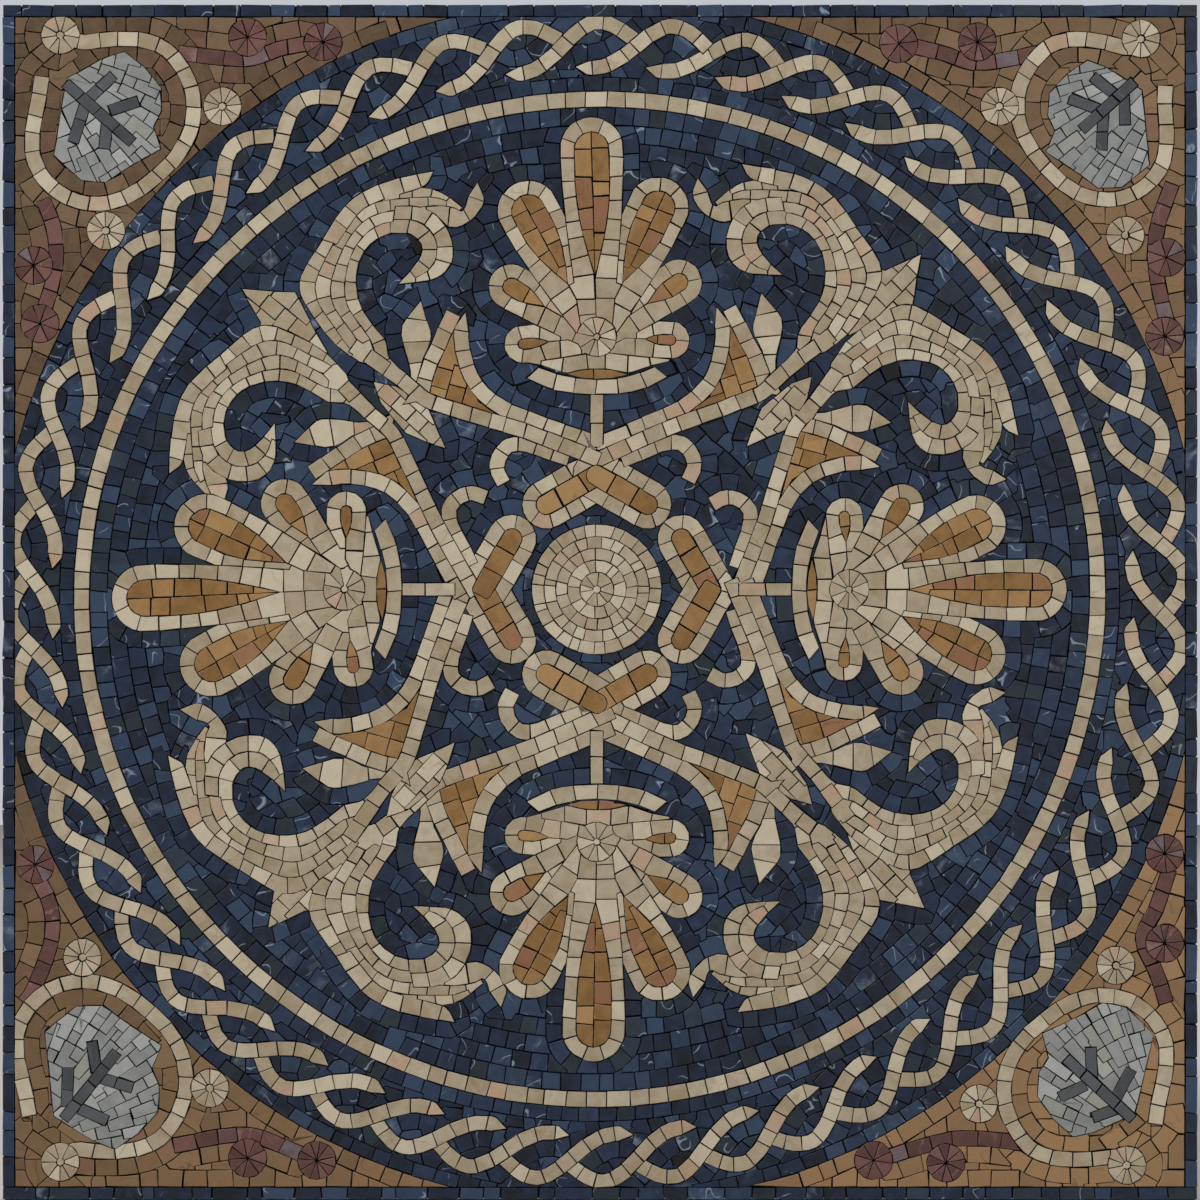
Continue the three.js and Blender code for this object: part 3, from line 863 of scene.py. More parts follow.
print("stones in the scrolls:", laid("scroll"), "in the spearheads:", laid("spearhead"))

# %% Stones of the palmettes
for name, face, stand in palmettes():
    cream, ochre = f"palmette_{name}", f"palmette_{name}_drops"
    up = np.linspace(STEM["from"], STEM["to"], 20)
    column = [level_line(up, side * STEM["width"] / 2)[:, ::-1] for side in (-1, 1)]
    lay_all(cut_row(*column, 15), cream, face)
    lay_all(cut_strip(UPPER_LOWER, UPPER_TOP, 1, 13), cream, face)
    for petal in petals:
        def lean_out(points, clock=petal["clock"]):
            return stand(turn(points, clock))

        lay_all(petal_drop(**petal), ochre, lean_out)
        lay_all(cut_row(*petal_edges(**petal), 12.5), cream, lean_out)
    x = np.linspace(-LENS["half"], LENS["half"], 9)
    bulge = LENS["thick"] * (1 - (x / LENS["half"]) ** 2) + 0.3
    edges = [np.column_stack([x, LENS["y"] + side * bulge]) for side in (1, -1)]
    lay_all(cut_row(*edges, 18), ochre, face)
    lay_all(cut_strip(ARCH_LOWER, ARCH_UPPER, 1, 13.5), cream, face)
    lay_all(cut_wedges([0, 0], 12.7, 10, hub=2.2), cream, stand)
print("stones in the palmettes:", laid("palmette"))

# %% Hearts of the knots and the centre disc
for name, face, stand in palmettes():
    for a, b in np.array(lobes, float):
        reach = (b - a) * (1 + KNOT["inner"] / np.linalg.norm(b - a))
        line = even([a - 0.1 * reach, a + reach])
        stones = cut_row(beside(line, KNOT["inner"]), beside(line, -KNOT["inner"]), 16)
        heart = face(capsule(a, b, KNOT["inner"]))
        lay_shape(heart, f"knot_{name}_hearts", [face(stone) for stone in stones])

lay_all(cut_round(round_outline(FIELD_CENTRE, DISC_RADIUS, 60), 5.5, 12), "field_ground")
for outer, inner, count in DISC_RINGS:
    marks = hand.uniform(0, 360) + np.arange(0, 361, 6)
    edges = [np.array([FIELD_CENTRE + on_clock(radius, c) for c in marks]) for radius in (outer, inner)]
    lay_all(cut_row(*edges, math.pi * (outer + inner) / count, uneven=0.3), "centre_disc")
lay(round_outline(FIELD_CENTRE, ROSETTE_HUB, 6), "centre_disc")
print("stones so far:", len(layout))

# %% [markdown]
# ## Cutting the stones to fit
#
# So far the outlines overlap, as sheets of paper would. A triangulation that respects every outline splits
# the whole panel into small triangles, and each triangle goes to the uppermost stone over it. The triangles
# of one stone that still touch make its cut shape. A splinter that no one would set on its own is joined to
# the neighbour of the same marble that it touches longest.

# %% Which stone a place belongs to
def owner_of(covering):
    """The uppermost outline that covers a place. A shape's stones count only inside the shape."""
    for upper in sorted(covering, reverse=True):
        entry = layout[upper]
        if "name" in entry:
            return max((k for k in covering if layout[k]["shape"] == entry["name"]), default=upper)
        if entry["shape"] is None:
            return upper
    return -1


# %% Mend an outline that crosses itself
def crosses_itself(outline):
    """True where two sides of an outline that aren't neighbours cross."""
    a, b = outline, np.roll(outline, -1, axis=0)
    along = b - a

    def side(points):
        gap = points[None, :, :] - a[:, None, :]
        return along[:, None, 0] * gap[:, :, 1] - along[:, None, 1] * gap[:, :, 0]

    cut = (side(a) * side(b) < 0) & (side(a) * side(b) < 0).T
    return bool(cut.any())


def hull_of(outline):
    order = sorted(map(tuple, outline))
    hull = []
    for line in (order, order[::-1]):
        half = []
        for p in line:
            while len(half) > 1 and area_of([half[-2], half[-1], p]) <= 0:
                half.pop()
            half.append(p)
        hull += half[:-1]
    return np.array(hull)


# %% Find what is left of each stone
SAME_CORNER = 0.02
CDT_EXACTNESS = 1e-4

points, outlines = [], []
mended = 0
for entry in layout:
    outline = entry["outline"]
    outline = outline[np.hypot(*(outline - np.roll(outline, 1, axis=0)).T) > SAME_CORNER]
    if crosses_itself(outline) and "name" not in entry:
        outline = hull_of(outline)
        mended += 1
    outline = outline if area_of(outline) > 0 else outline[::-1]
    outlines.append(list(range(len(points), len(points) + len(outline))))
    points += [tuple(p) for p in outline]
spots, _, triangles, _, _, covers = delaunay_2d_cdt(points, [], outlines, 1, CDT_EXACTNESS, True)
spots, triangles = np.array(spots), np.array(triangles)
inside = np.all(np.abs(spots[triangles].mean(axis=1)) < HALF, axis=1)
owners = [owner_of(cover) if keep else -1 for cover, keep in zip(covers, inside)]
print("triangles:", len(triangles), "outlines mended:", mended)

# %% Join the triangles of each stone
def find(parent, k):
    while parent[k] != k:
        parent[k] = parent[parent[k]]
        k = parent[k]
    return k


ends = np.sort(np.concatenate([triangles[:, [0, 1]], triangles[:, [1, 2]], triangles[:, [2, 0]]]), axis=1)
sides = np.tile(np.arange(len(triangles)), 3)
order = np.lexsort((ends[:, 1], ends[:, 0]))
same = np.nonzero((ends[order[1:]] == ends[order[:-1]]).all(axis=1))[0]
pairs = list(zip(sides[order[same]].tolist(), sides[order[same + 1]].tolist()))
shared = np.hypot(*(spots[ends[order[same], 0]] - spots[ends[order[same], 1]]).T).tolist()
stone_of = list(range(len(triangles)))
for a, b in pairs:
    if owners[a] == owners[b]:
        stone_of[find(stone_of, a)] = find(stone_of, b)
stone_of = [find(stone_of, k) for k in range(len(triangles))]
print("stones and splinters:", len({k for k, owner in zip(stone_of, owners) if owner >= 0}))

# %% Measure the stones and their neighbours
side_1, side_2 = (spots[triangles[:, k]] - spots[triangles[:, 0]] for k in (1, 2))
sizes = 0.5 * (side_1[:, 0] * side_2[:, 1] - side_1[:, 1] * side_2[:, 0])
area, rim, touching = {}, {}, {}
for k, stone in enumerate(stone_of):
    area[stone] = area.get(stone, 0) + sizes[k]
for (a, b), length in zip(pairs, shared):
    a, b = stone_of[a], stone_of[b]
    if a != b:
        for one, other in ((a, b), (b, a)):
            rim[one] = rim.get(one, 0) + length
            near = touching.setdefault(one, {})
            near[other] = near.get(other, 0) + length
covered = sum(size for size, owner in zip(sizes, owners) if owner >= 0)
print("the stones cover", round(covered * MM**2, 4), "square metres")

# %% Join the splinters to their neighbours
SPLINTER_AREA = 24
GROUND_SPLINTER = 46
SPLINTER_WIDTH = 1.9
LARGEST_JOINED = 230

piece_at = {stone: layout[owners[stone]]["piece"] if owners[stone] >= 0 else None for stone in area}
joined = {stone: stone for stone in area}
for stone in sorted(area, key=area.get):
    stone = find(joined, stone)
    width = 2 * area[stone] / max(rim.get(stone, 0), 1e-6)
    least = GROUND_SPLINTER if piece_at[stone] == "field_ground" else SPLINTER_AREA
    if piece_at[stone] is None or (area[stone] > least and width > SPLINTER_WIDTH):
        continue
    near = {}
    for other, length in touching.get(stone, {}).items():
        other = find(joined, other)
        fits = area[other] + area[stone] < LARGEST_JOINED
        if other != stone and piece_at[other] == piece_at[stone] and fits:
            near[other] = near.get(other, 0) + length
    if near:
        host = max(near, key=near.get)
        joined[stone] = host
        area[host] += area[stone]
        rim[host] += rim[stone] - 2 * near[host]
        for other, length in touching[stone].items():
            touching[host][other] = touching[host].get(other, 0) + length
stone_of = [find(joined, stone) for stone in stone_of]
print("with their splinters joined:", len({k for k, owner in zip(stone_of, owners) if owner >= 0}))

# %% Walk round the triangles of a stone
def loops_of(members):
    """The closed outlines of a set of triangles; the outer one runs anticlockwise."""
    steps = set()
    for a, b, c in members:
        for step in ((a, b), (b, c), (c, a)):
            if step[::-1] in steps:
                steps.discard(step[::-1])
            else:
                steps.add(step)
    ways = {}
    for a, b in steps:
        ways.setdefault(a, []).append(b)
    loops = []
    while ways:
        start = next(iter(ways))
        loop, at = [start], start
        while True:
            to = ways[at].pop()
            if not ways[at]:
                del ways[at]
            if to == start:
                break
            loop.append(to)
            at = to
        loops.append(loop)
    return loops


# %% Leave out the points that hardly turn an outline
def tidy_outline(outline, tolerance=0.35, shortest=1.3):
    """Drops points that hardly turn the outline, and sooner where a side is very short."""
    line = [(float(x), float(y)) for x, y in outline]

    def weight(i):
        (ax, ay), (bx, by), (cx, cy) = line[i - 1], line[i], line[(i + 1) % len(line)]
        base = math.hypot(cx - ax, cy - ay)
        off = abs((cx - ax) * (by - ay) - (cy - ay) * (bx - ax)) / max(base, 1e-6)
        short = min(math.hypot(bx - ax, by - ay), math.hypot(cx - bx, cy - by)) < shortest
        return off * (0.4 if short else 1)

    weights = [weight(i) for i in range(len(line))]
    while len(line) > 3 and min(weights) < tolerance:
        least = weights.index(min(weights))
        line.pop(least)
        weights.pop(least)
        for i in (least - 1, least % len(line)):
            weights[i] = weight(i)
    return np.array(line)


# %% Read each stone's outline
LEAST_STONE = 5
LEAST_WIDTH = 0.9

members = {}
for stone, triangle in zip(stone_of, triangles.tolist()):
    if piece_at[stone] is not None:
        members.setdefault(stone, []).append(triangle)
tiles = []
for stone, faces in members.items():
    loops = sorted(loops_of(faces), key=lambda loop: -area_of(spots[loop]))
    outline = tidy_outline(spots[loops[0]])
    if area_of(outline) > LEAST_STONE and 2 * area[stone] / rim[stone] > LEAST_WIDTH:
        tiles.append({"outline": outline, "piece": piece_at[stone]})
largest = max(area_of(tile["outline"]) for tile in tiles)
print("stones cut:", len(tiles), "largest:", round(largest), "square mm")

# %% [markdown]
# ## From outlines to stones
#
# The outlines become real stones as they would by hand in Blender. The flat faces are drawn at the front,
# each a little lower or tilted, because stones set one by one are never quite level, and never prouder than
# the panel's face. In edit mode every face is inset on its own, which leaves the open joint once the rim is
# deleted. Then the faces are extruded back to the glue, and the front edges get a small bevel, since the
# edge of cut marble always crumbles a little. Five thousand unlike outlines can't start as primitives, so
# the faces are drawn by code, and everything after that is the usual tools.

# %% Marble and depth of each piece
SET_DEPTH = {
    "navy": 0.85, "cream": 0.15, "ochre": 0.35, "field": 0.6, "rose": 0.4, "white": 0.25, "grey": 0.3,
}
MARBLE_OF = [
    ("leaf_veins", "grey"), ("leaf", "white"), ("_drops", "ochre"), ("_husks", "ochre"), ("_hearts", "ochre"),
    ("corner_field", "field"), ("spray", "rose"), ("border", "navy"), ("guilloche_ring", "navy"),
    ("field_ground", "navy"), ("", "cream"),
]


def marble_of(piece):
    return next(marble for part, marble in MARBLE_OF if part in piece)


print("each marble is set back by so many mm, more or less:", SET_DEPTH)

# %% Draw the front faces
STONE_FRONT = 10
CUT_SMALLER = (0.002, 0.06)
UNEVEN_LEVEL = 0.16
TILT = 0.012


def draw_fronts(name, outlines):
    """The flat front faces of a piece's stones, each at its own level, numbered from the first."""
    corners, faces = [], []
    depth = SET_DEPTH[marble_of(name)]
    for outline in outlines:
        centre = outline.mean(axis=0)
        askew = math.radians(hand.gauss(0, 1.0))
        swing = np.array([[math.cos(askew), math.sin(askew)], [-math.sin(askew), math.cos(askew)]])
        outline = centre + (outline - centre) @ swing * (1 - hand.uniform(*CUT_SMALLER))
        level = abs(hand.gauss(0, UNEVEN_LEVEL)) + depth * hand.uniform(0.6, 1.3)
        slope = np.array([hand.gauss(0, TILT), hand.gauss(0, TILT)])
        low = np.maximum(level + (outline - centre) @ slope, 0)
        faces.append(list(range(len(corners), len(corners) + len(outline))))
        corners += [(x * MM, (d - STONE_FRONT) * MM, z * MM) for (x, z), d in zip(outline, low)]
    mesh = bpy.data.meshes.new(name)
    mesh.from_pydata(corners, [], faces)
    piece = bpy.data.objects.new(name, mesh)
    bpy.context.collection.objects.link(piece)
    number = mesh.attributes.new("stone", "INT", "FACE")
    number.data.foreach_set("value", np.arange(len(faces), dtype=np.int32))
    return piece


# %% Choose parts of a piece
def only_select(piece):
    bpy.ops.object.select_all(action="DESELECT")
    piece.select_set(True)
    bpy.context.view_layer.objects.active = piece


def choose(piece, kind, rule):
    """Selects the faces, edges or vertices that the rule holds for, in edit mode's own select mode."""
    bpy.ops.object.mode_set(mode="OBJECT")
    for part in ("vertices", "edges", "polygons"):
        items = getattr(piece.data, part)
        items.foreach_set("select", np.zeros(len(items), bool))
    items = getattr(piece.data, kind)
    items.foreach_set("select", np.array(rule(piece.data), bool))
    bpy.ops.object.mode_set(mode="EDIT")


def read(items, name, kind=np.int32, width=1):
    """One value, or so many, of each corner, edge or face of a mesh."""
    values = np.empty(len(items) * width, kind)
    items.foreach_get(name, values)
    return values.reshape(-1, width) if width > 1 else values


# %% Give the stones their thickness, joint and bevel
BED_LEVEL = 2
JOINT_HALF = 0.2 * MM
EDGE_BEVEL = 0.24 * MM


def front_edges(mesh):
    front = read(mesh.vertices, "co", float, 3)[:, 1] < -(BED_LEVEL + 1) * MM
    return front[read(mesh.edges, "vertices", width=2)].all(axis=1)


def shape_stones(piece):
    only_select(piece)
    bpy.ops.object.mode_set(mode="EDIT")
    bpy.ops.mesh.select_mode(type="FACE")
    bpy.ops.mesh.select_all(action="SELECT")
    bpy.ops.mesh.inset(thickness=JOINT_HALF, use_individual=True, use_even_offset=True)
    bpy.ops.mesh.select_all(action="INVERT")
    bpy.ops.mesh.delete(type="FACE")
    bpy.ops.mesh.select_all(action="SELECT")
    back = (0, (STONE_FRONT - BED_LEVEL) * MM, 0)
    bpy.ops.mesh.extrude_region_move(TRANSFORM_OT_translate={"value": back})
    bpy.ops.transform.resize(value=(1, 0, 1), center_override=(0, -BED_LEVEL * MM, 0))
    bpy.ops.mesh.select_all(action="SELECT")
    bpy.ops.mesh.normals_make_consistent(inside=False)
    bpy.ops.mesh.select_mode(type="EDGE")

    choose(piece, "edges", front_edges)
    bpy.ops.mesh.bevel(offset=EDGE_BEVEL, segments=1, affect="EDGES", clamp_overlap=False)
    bpy.ops.object.mode_set(mode="OBJECT")


# %% Keep sharp corners in reach
def keep_within(piece, outlines):
    """A very sharp corner can shoot out when its face is inset. It is brought back into its stone's reach."""
    mesh = piece.data
    number = read(mesh.attributes["stone"].data, "value")
    owner = np.zeros(len(mesh.vertices), int)
    owner[read(mesh.loops, "vertex_index")] = np.repeat(number, read(mesh.polygons, "loop_total"))
    low = np.array([outline.min(axis=0) for outline in outlines])[owner] * MM
    high = np.array([outline.max(axis=0) for outline in outlines])[owner] * MM
    co = read(mesh.vertices, "co", float, 3)
    co[:, [0, 2]] = np.clip(co[:, [0, 2]], low, high)
    co[:, 1] = np.clip(co[:, 1], -STONE_FRONT * MM, -BED_LEVEL * MM)
    mesh.vertices.foreach_set("co", co.ravel())


# %% Make the stones
pieces = {}
for tile in tiles:
    pieces.setdefault(tile["piece"], []).append(tile["outline"])
stones = {}
for name, outlines in pieces.items():
    stones[name] = draw_fronts(name + "_stones", outlines)
    shape_stones(stones[name])
    keep_within(stones[name], outlines)
print("pieces:", len(stones), "faces:", sum(len(piece.data.polygons) for piece in stones.values()))

# %% Measure how far back the stones lie
def mean_depth(marble):
    fronts = []
    for name, piece in stones.items():
        if marble_of(name) == marble:
            faces = piece.data.polygons
            facing = read(faces, "normal", np.float32, 3)[:, 1] < -0.95
            fronts.append(read(faces, "center", np.float32, 3)[facing, 1])
    return STONE_FRONT + float(np.concatenate(fronts).mean()) / MM


depths = {marble: round(mean_depth(marble), 2) for marble in SET_DEPTH}
print("the fronts lie behind the panel's face, on average in mm:", depths)

# %% [markdown]
# ## Telling the stones apart
#
# Every stone was split from a different block, so two neighbours never share a vein. Each stone gets three
# random numbers, its tone, its warmth and its place in the rock. Its worn edge is marked as well, and so are
# its sides, which get painted shade where they lie down in the joints. The marble materials read these marks
# and shift their pattern.

# %% Mark the stones
def mark_stones(piece):
    mesh = piece.data
    number = read(mesh.attributes["stone"].data, "value")
    draw = np.random.default_rng(len(mesh.polygons))
    marks = draw.random((number.max() + 1, 4))
    marks[:, 3] = 1
    colour = mesh.attributes.new("cut", "FLOAT_COLOR", "FACE")
    colour.data.foreach_set("color", marks[number].ravel().astype(np.float32))
    facing = -read(mesh.polygons, "normal", np.float32, 3)[:, 1]
    # The sides, which face along the joints, are marked for painted shade.
    for name, part in (("worn", (facing > 0.2) & (facing < 0.95)), ("sunk", facing <= 0.2)):
        mark = mesh.attributes.new(name, "FLOAT", "FACE")
        mark.data.foreach_set("value", part.astype(np.float32))
    mesh.attributes.remove(mesh.attributes["stone"])
    return len(marks)


print("stones marked:", sum(mark_stones(piece) for piece in stones.values()))

# %% [markdown]
# ## The marbles
#
# A material is a small graph of nodes. To keep its recipe readable, a socket is wrapped in a class that knows
# plus, minus and times, so a mask can be written as a sum. Colours are mixed, never added as numbers.

# %% A socket that can be calculated with
class Socket:
    def __init__(self, graph, out):
        self.graph, self.out = graph, out

    def maths(self, operation, first, second=0.0):
        return self.graph.node("ShaderNodeMath", {"operation": operation}, {0: first, 1: second})

    def __add__(self, other):
        return self.maths("ADD", self, other)

    def __sub__(self, other):
        return self.maths("SUBTRACT", self, other)

    def __rsub__(self, other):
        return self.maths("SUBTRACT", other, self)

    def __mul__(self, other):
        return self.maths("MULTIPLY", self, other)

    def __truediv__(self, other):
        return self.maths("DIVIDE", self, other)

    def __abs__(self):
        return self.maths("ABSOLUTE", self)

    __radd__, __rmul__ = __add__, __mul__


# %% The nodes of a material
class Graph:
    """A material's nodes. The finish goes in through one principled shader."""

    def __init__(self, name, **finish):
        self.material = bpy.data.materials.new(name)
        self.material.use_nodes = True
        self.tree = self.material.node_tree
        self.tree.nodes.clear()
        self.shader = self.tree.nodes.new("ShaderNodeBsdfPrincipled")
        surface = self.tree.nodes.new("ShaderNodeOutputMaterial").inputs["Surface"]
        self.tree.links.new(self.shader.outputs[0], surface)
        self.finish(**finish)

    def feed(self, node, inputs):
        for key, value in inputs.items():
            if isinstance(value, Socket):
                self.tree.links.new(value.out, node.inputs[key])
            else:
                node.inputs[key].default_value = value

    def node(self, kind, settings=None, inputs=None, out=0):
        node = self.tree.nodes.new(kind)
        for key, value in (settings or {}).items():
            setattr(node, key, value)
        self.feed(node, inputs or {})
        return Socket(self, node.outputs[out])

    def mix(self, part, first, second):
        return self.node("ShaderNodeMix", {"data_type": "RGBA"}, {0: part, 6: first, 7: second}, out=2)

    def smooth_step(self, value, low, high):
        inputs = {"Value": value, "From Min": low, "From Max": high}
        return self.node("ShaderNodeMapRange", {"interpolation_type": "SMOOTHSTEP"}, inputs)

    def noise(self, place, scale, detail=2.0, rough=0.5, distortion=0.0):
        inputs = {"Scale": scale, "Detail": detail, "Roughness": rough, "Distortion": distortion}
        return self.node("ShaderNodeTexNoise", inputs={"Vector": place, **inputs})

    def bump(self, strength, distance, height):
        inputs = {"Strength": strength, "Distance": distance, "Height": height}
        return self.node("ShaderNodeBump", inputs=inputs)

    def finish(self, **inputs):
        self.feed(self.shader, {key.replace("_", " "): value for key, value in inputs.items()})
        return self.material


# %% Colours
def paint(code):
    """A colour written as six hex digits, as linear light."""
    parts = [int(code[i:i + 2], 16) / 255 for i in (0, 2, 4)]
    return (*[p / 12.92 if p <= 0.04045 else ((p + 0.055) / 1.055) ** 2.4 for p in parts], 1.0)


print("the grey 808080 is", round(paint("808080")[0], 3), "of white light")

# %% [markdown]
# ## One recipe for every marble
#
# All the stones are honed marble, and they differ in colour, cloudiness and veins. Clouds are soft noise. A
# vein is where another noise passes its middle value: there it makes thin wandering lines, as minerals do
# in a crack. The tone of each stone comes from its own mark. The worn edges are paler and dusty, and the
# finish is matt with a fine grain, so the relief comes from the stones themselves and only the grain from
# bump.
#
# A recipe's colours are the stone's own, its dark and light tones, its veins, and the odd stone from another
# block. The dull ochre also gets painted light: it is painted lighter and warmer towards the lower right.

# %% The recipe
ROCK_SPREAD = 7.0


def marble(name, base, dark, light, vein, odd, tone, veins, odd_share, edge, edge_part,
           roughness=0.5, vein_width=0.012, painted_light_tint=None):
    g = Graph(name, Roughness=roughness, Specular_IOR_Level=0.4)
    place = g.node("ShaderNodeTexCoord", out="Object")
    cut = g.node("ShaderNodeAttribute", {"attribute_name": "cut"}, out="Color")
    shift = g.node("ShaderNodeVectorMath", {"operation": "SCALE"}, {0: cut, "Scale": ROCK_SPREAD})
    rock = g.node("ShaderNodeVectorMath", {"operation": "ADD"}, {0: place, 1: shift})
    own = [g.node("ShaderNodeSeparateColor", inputs={"Color": cut}, out=k) for k in range(3)]
    marks = {"attribute_name": "worn"}, {"attribute_name": "sunk"}
    worn, sunk = (g.node("ShaderNodeAttribute", mark, out="Fac") for mark in marks)

    def noise(scale, detail=4.0, rough=0.55, distortion=0.0):
        return g.noise(rock, scale, detail, rough, distortion)

    clouds = g.smooth_step(noise(85, 5, 0.6, 0.4), 0.32, 0.68)
    body = g.mix(clouds * 0.6 + own[0] * tone - 0.1, paint(dark), paint(base))
    pale = g.smooth_step(own[0] + noise(150) * 0.5, 0.75, 1.3)
    body = g.mix(pale * tone, body, paint(light))
    stain = g.smooth_step(noise(38, 5, 0.65, 0.6), 0.56, 0.74) * g.smooth_step(own[2], 0.5, 0.9)
    body = g.mix(stain * 0.5, body, paint(vein))
    other_block = g.smooth_step(own[1], 1 - odd_share, 1 - odd_share * 0.6)
    body = g.mix(other_block * (0.35 + 0.65 * clouds), body, paint(odd))
    # Painted light: the dull ochre is painted lighter and warmer towards the lower right, where the light
    # falls brighter.
    if painted_light_tint:
        side = [g.node("ShaderNodeSeparateXYZ", inputs={"Vector": place}, out=k) for k in (0, 2)]
        painted_light_part = g.smooth_step(side[0] - side[1], -0.5, 0.7) * (0.5 + 0.5 * own[2])
        body = g.mix(painted_light_part, body, paint(painted_light_tint))
    line = abs(noise(40, 1.5, 0.5, 0.3) - 0.5)
    broken = g.smooth_step(noise(70, 2) + own[2] * 0.25, 0.66, 0.76)
    thread = (1 - g.smooth_step(line, 0.001, vein_width)) * broken * veins
    body = g.mix(thread, body, paint(vein))
    grain = noise(900, 3, 0.7)
    body = g.mix(g.smooth_step(grain, 0.56, 0.8) * 0.22, body, paint(dark))
    dusty = worn * g.smooth_step(noise(220, 3), 0.4, 0.62) * edge_part
    body = g.mix(dusty, body, paint(edge))
    # Painted shade: the stones' sides down in the joints are painted near-black.
    body = g.mix(sunk * 0.9, body, paint("13110f"))
    bump = g.bump(0.35, 0.4 * MM, grain + clouds * 0.8 + thread * 0.3)
    return g.finish(Base_Color=body, Roughness=(grain - 0.5) * 0.3 + roughness + dusty * 0.2, Normal=bump)


# %% The six marbles, and the duller ochre of the corners
MARBLES = {
    "navy": marble(
        "navy_marble", "253653", "141a26", "3f526d", "9fb0c6", "2a363c",
        tone=0.75, veins=0.8, odd_share=0.15, edge="5a6a82", edge_part=0.35,
        roughness=0.42, vein_width=0.009),
    "cream": marble(
        "cream_marble", "c8baa1", "ab987a", "e2d5bb", "987d5b", "c9a78c",
        tone=0.75, veins=0.35, odd_share=0.06, edge="e2d8c4", edge_part=0.3),
    "ochre": marble(
        "ochre_marble", "ab8250", "886331", "c19a68", "6f4c2c", "9c6c52",
        tone=0.65, veins=0.4, odd_share=0.16, edge="d4c0a2", edge_part=0.5),
    # The dull ochre's tint towards the lower right is painted light.
    "field": marble(
        "dull_ochre_marble", "775f45", "5d4731", "8c7257", "4e3828", "7d5a49",
        tone=0.7, veins=0.45, odd_share=0.2, edge="b7a48a", edge_part=0.5, painted_light_tint="b08a60"),
    "rose": marble(
        "rose_marble", "78504a", "5c3c38", "8d655f", "b89a90", "7d7075",
        tone=0.6, veins=0.3, odd_share=0.12, edge="a98a80", edge_part=0.4),
    "white": marble(
        "white_marble", "a9aba9", "8c8f8e", "c6c8c5", "868b8c", "a9a89d",
        tone=0.6, veins=0.3, odd_share=0.1, edge="dadad2", edge_part=0.35),
    "grey": marble(
        "grey_marble", "565a5e", "43474b", "6a6e72", "8c9298", "5f6264",
        tone=0.5, veins=0.3, odd_share=0.1, edge="7d8286", edge_part=0.35),
}
print("marbles:", [material.name for material in MARBLES.values()])

# %% Give the stones their marble
SLOT_OF = {"grey": "navy_marble", "field": "ochre_marble"}
for name, piece in stones.items():
    kind = marble_of(name)
    piece.data.materials.append(MARBLES[kind])
    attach(piece, "root")
    SLOT_OF.get(kind, f"{kind}_marble")
print("pieces with their marble:", len(stones))

# %% [markdown]
# ## Which solid each set of stones stands for
#
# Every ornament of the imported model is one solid, and its stones take its place. Where an ornament has two
# marbles, such as a palmette and its drops, both sets of stones stand for the same solid.

# %% Replace the solids
HOSTS = {
    "_drops": "", "_husks": "", "_hearts": "",
    "guilloche_strands": "guilloche_ring", "leaf_veins": "corner_leaf",
}
replaced = set()
for name, piece in stones.items():
    node = name
    for part, host in HOSTS.items():
        node = node.replace(part, host)
    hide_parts(node)
    replaced.add(node)
print("solids that stones stand for:", len(replaced))

# %% [markdown]
# ## The net at the back
#
# Mosaics of this size are glued on a net of fibreglass, so they can be lifted and set on a wall in one
# piece. The net is two layers of threads that cross, in a skin of white glue that also closes the joints
# from behind. One thread is modelled and repeated with an array. The glue starts as a grid, thickened and
# made lumpy.

# %% Threads of the net
THREAD_STEP = 5 * MM
THREAD_RADIUS = 0.42 * MM


def make_threads(name, level, turned):
    bpy.ops.object.select_all(action="DESELECT")
    rotation = (0, 0, 0) if turned else (0, math.pi / 2, 0)
    count = int(PANEL * MM / THREAD_STEP)
    start = -(count - 1) / 2 * THREAD_STEP
    spot = (start, level, 0) if turned else (0, level, start)
    bpy.ops.mesh.primitive_cylinder_add(
        vertices=6, radius=THREAD_RADIUS, depth=PANEL * MM, location=spot, rotation=rotation)
    thread = bpy.context.object
    thread.name = thread.data.name = name
    bpy.ops.object.transform_apply(location=True, rotation=True, scale=True)
    row = thread.modifiers.new("row", "ARRAY")
    row.count = count
    row.use_relative_offset, row.use_constant_offset = False, True
    row.constant_offset_displace = (THREAD_STEP, 0, 0) if turned else (0, 0, THREAD_STEP)
    bpy.ops.object.modifier_apply(modifier="row")
    return thread


net = [
    make_threads("net_upright", -THREAD_RADIUS, True),
    make_threads("net_level", -2.6 * THREAD_RADIUS, False),
]
print("faces in the net:", sum(len(piece.data.polygons) for piece in net))

# %% Skin of glue
GLUE_BACK = 0.85 * MM
GLUE_LUMPS = 0.9 * MM
GLUE_CELLS = 120


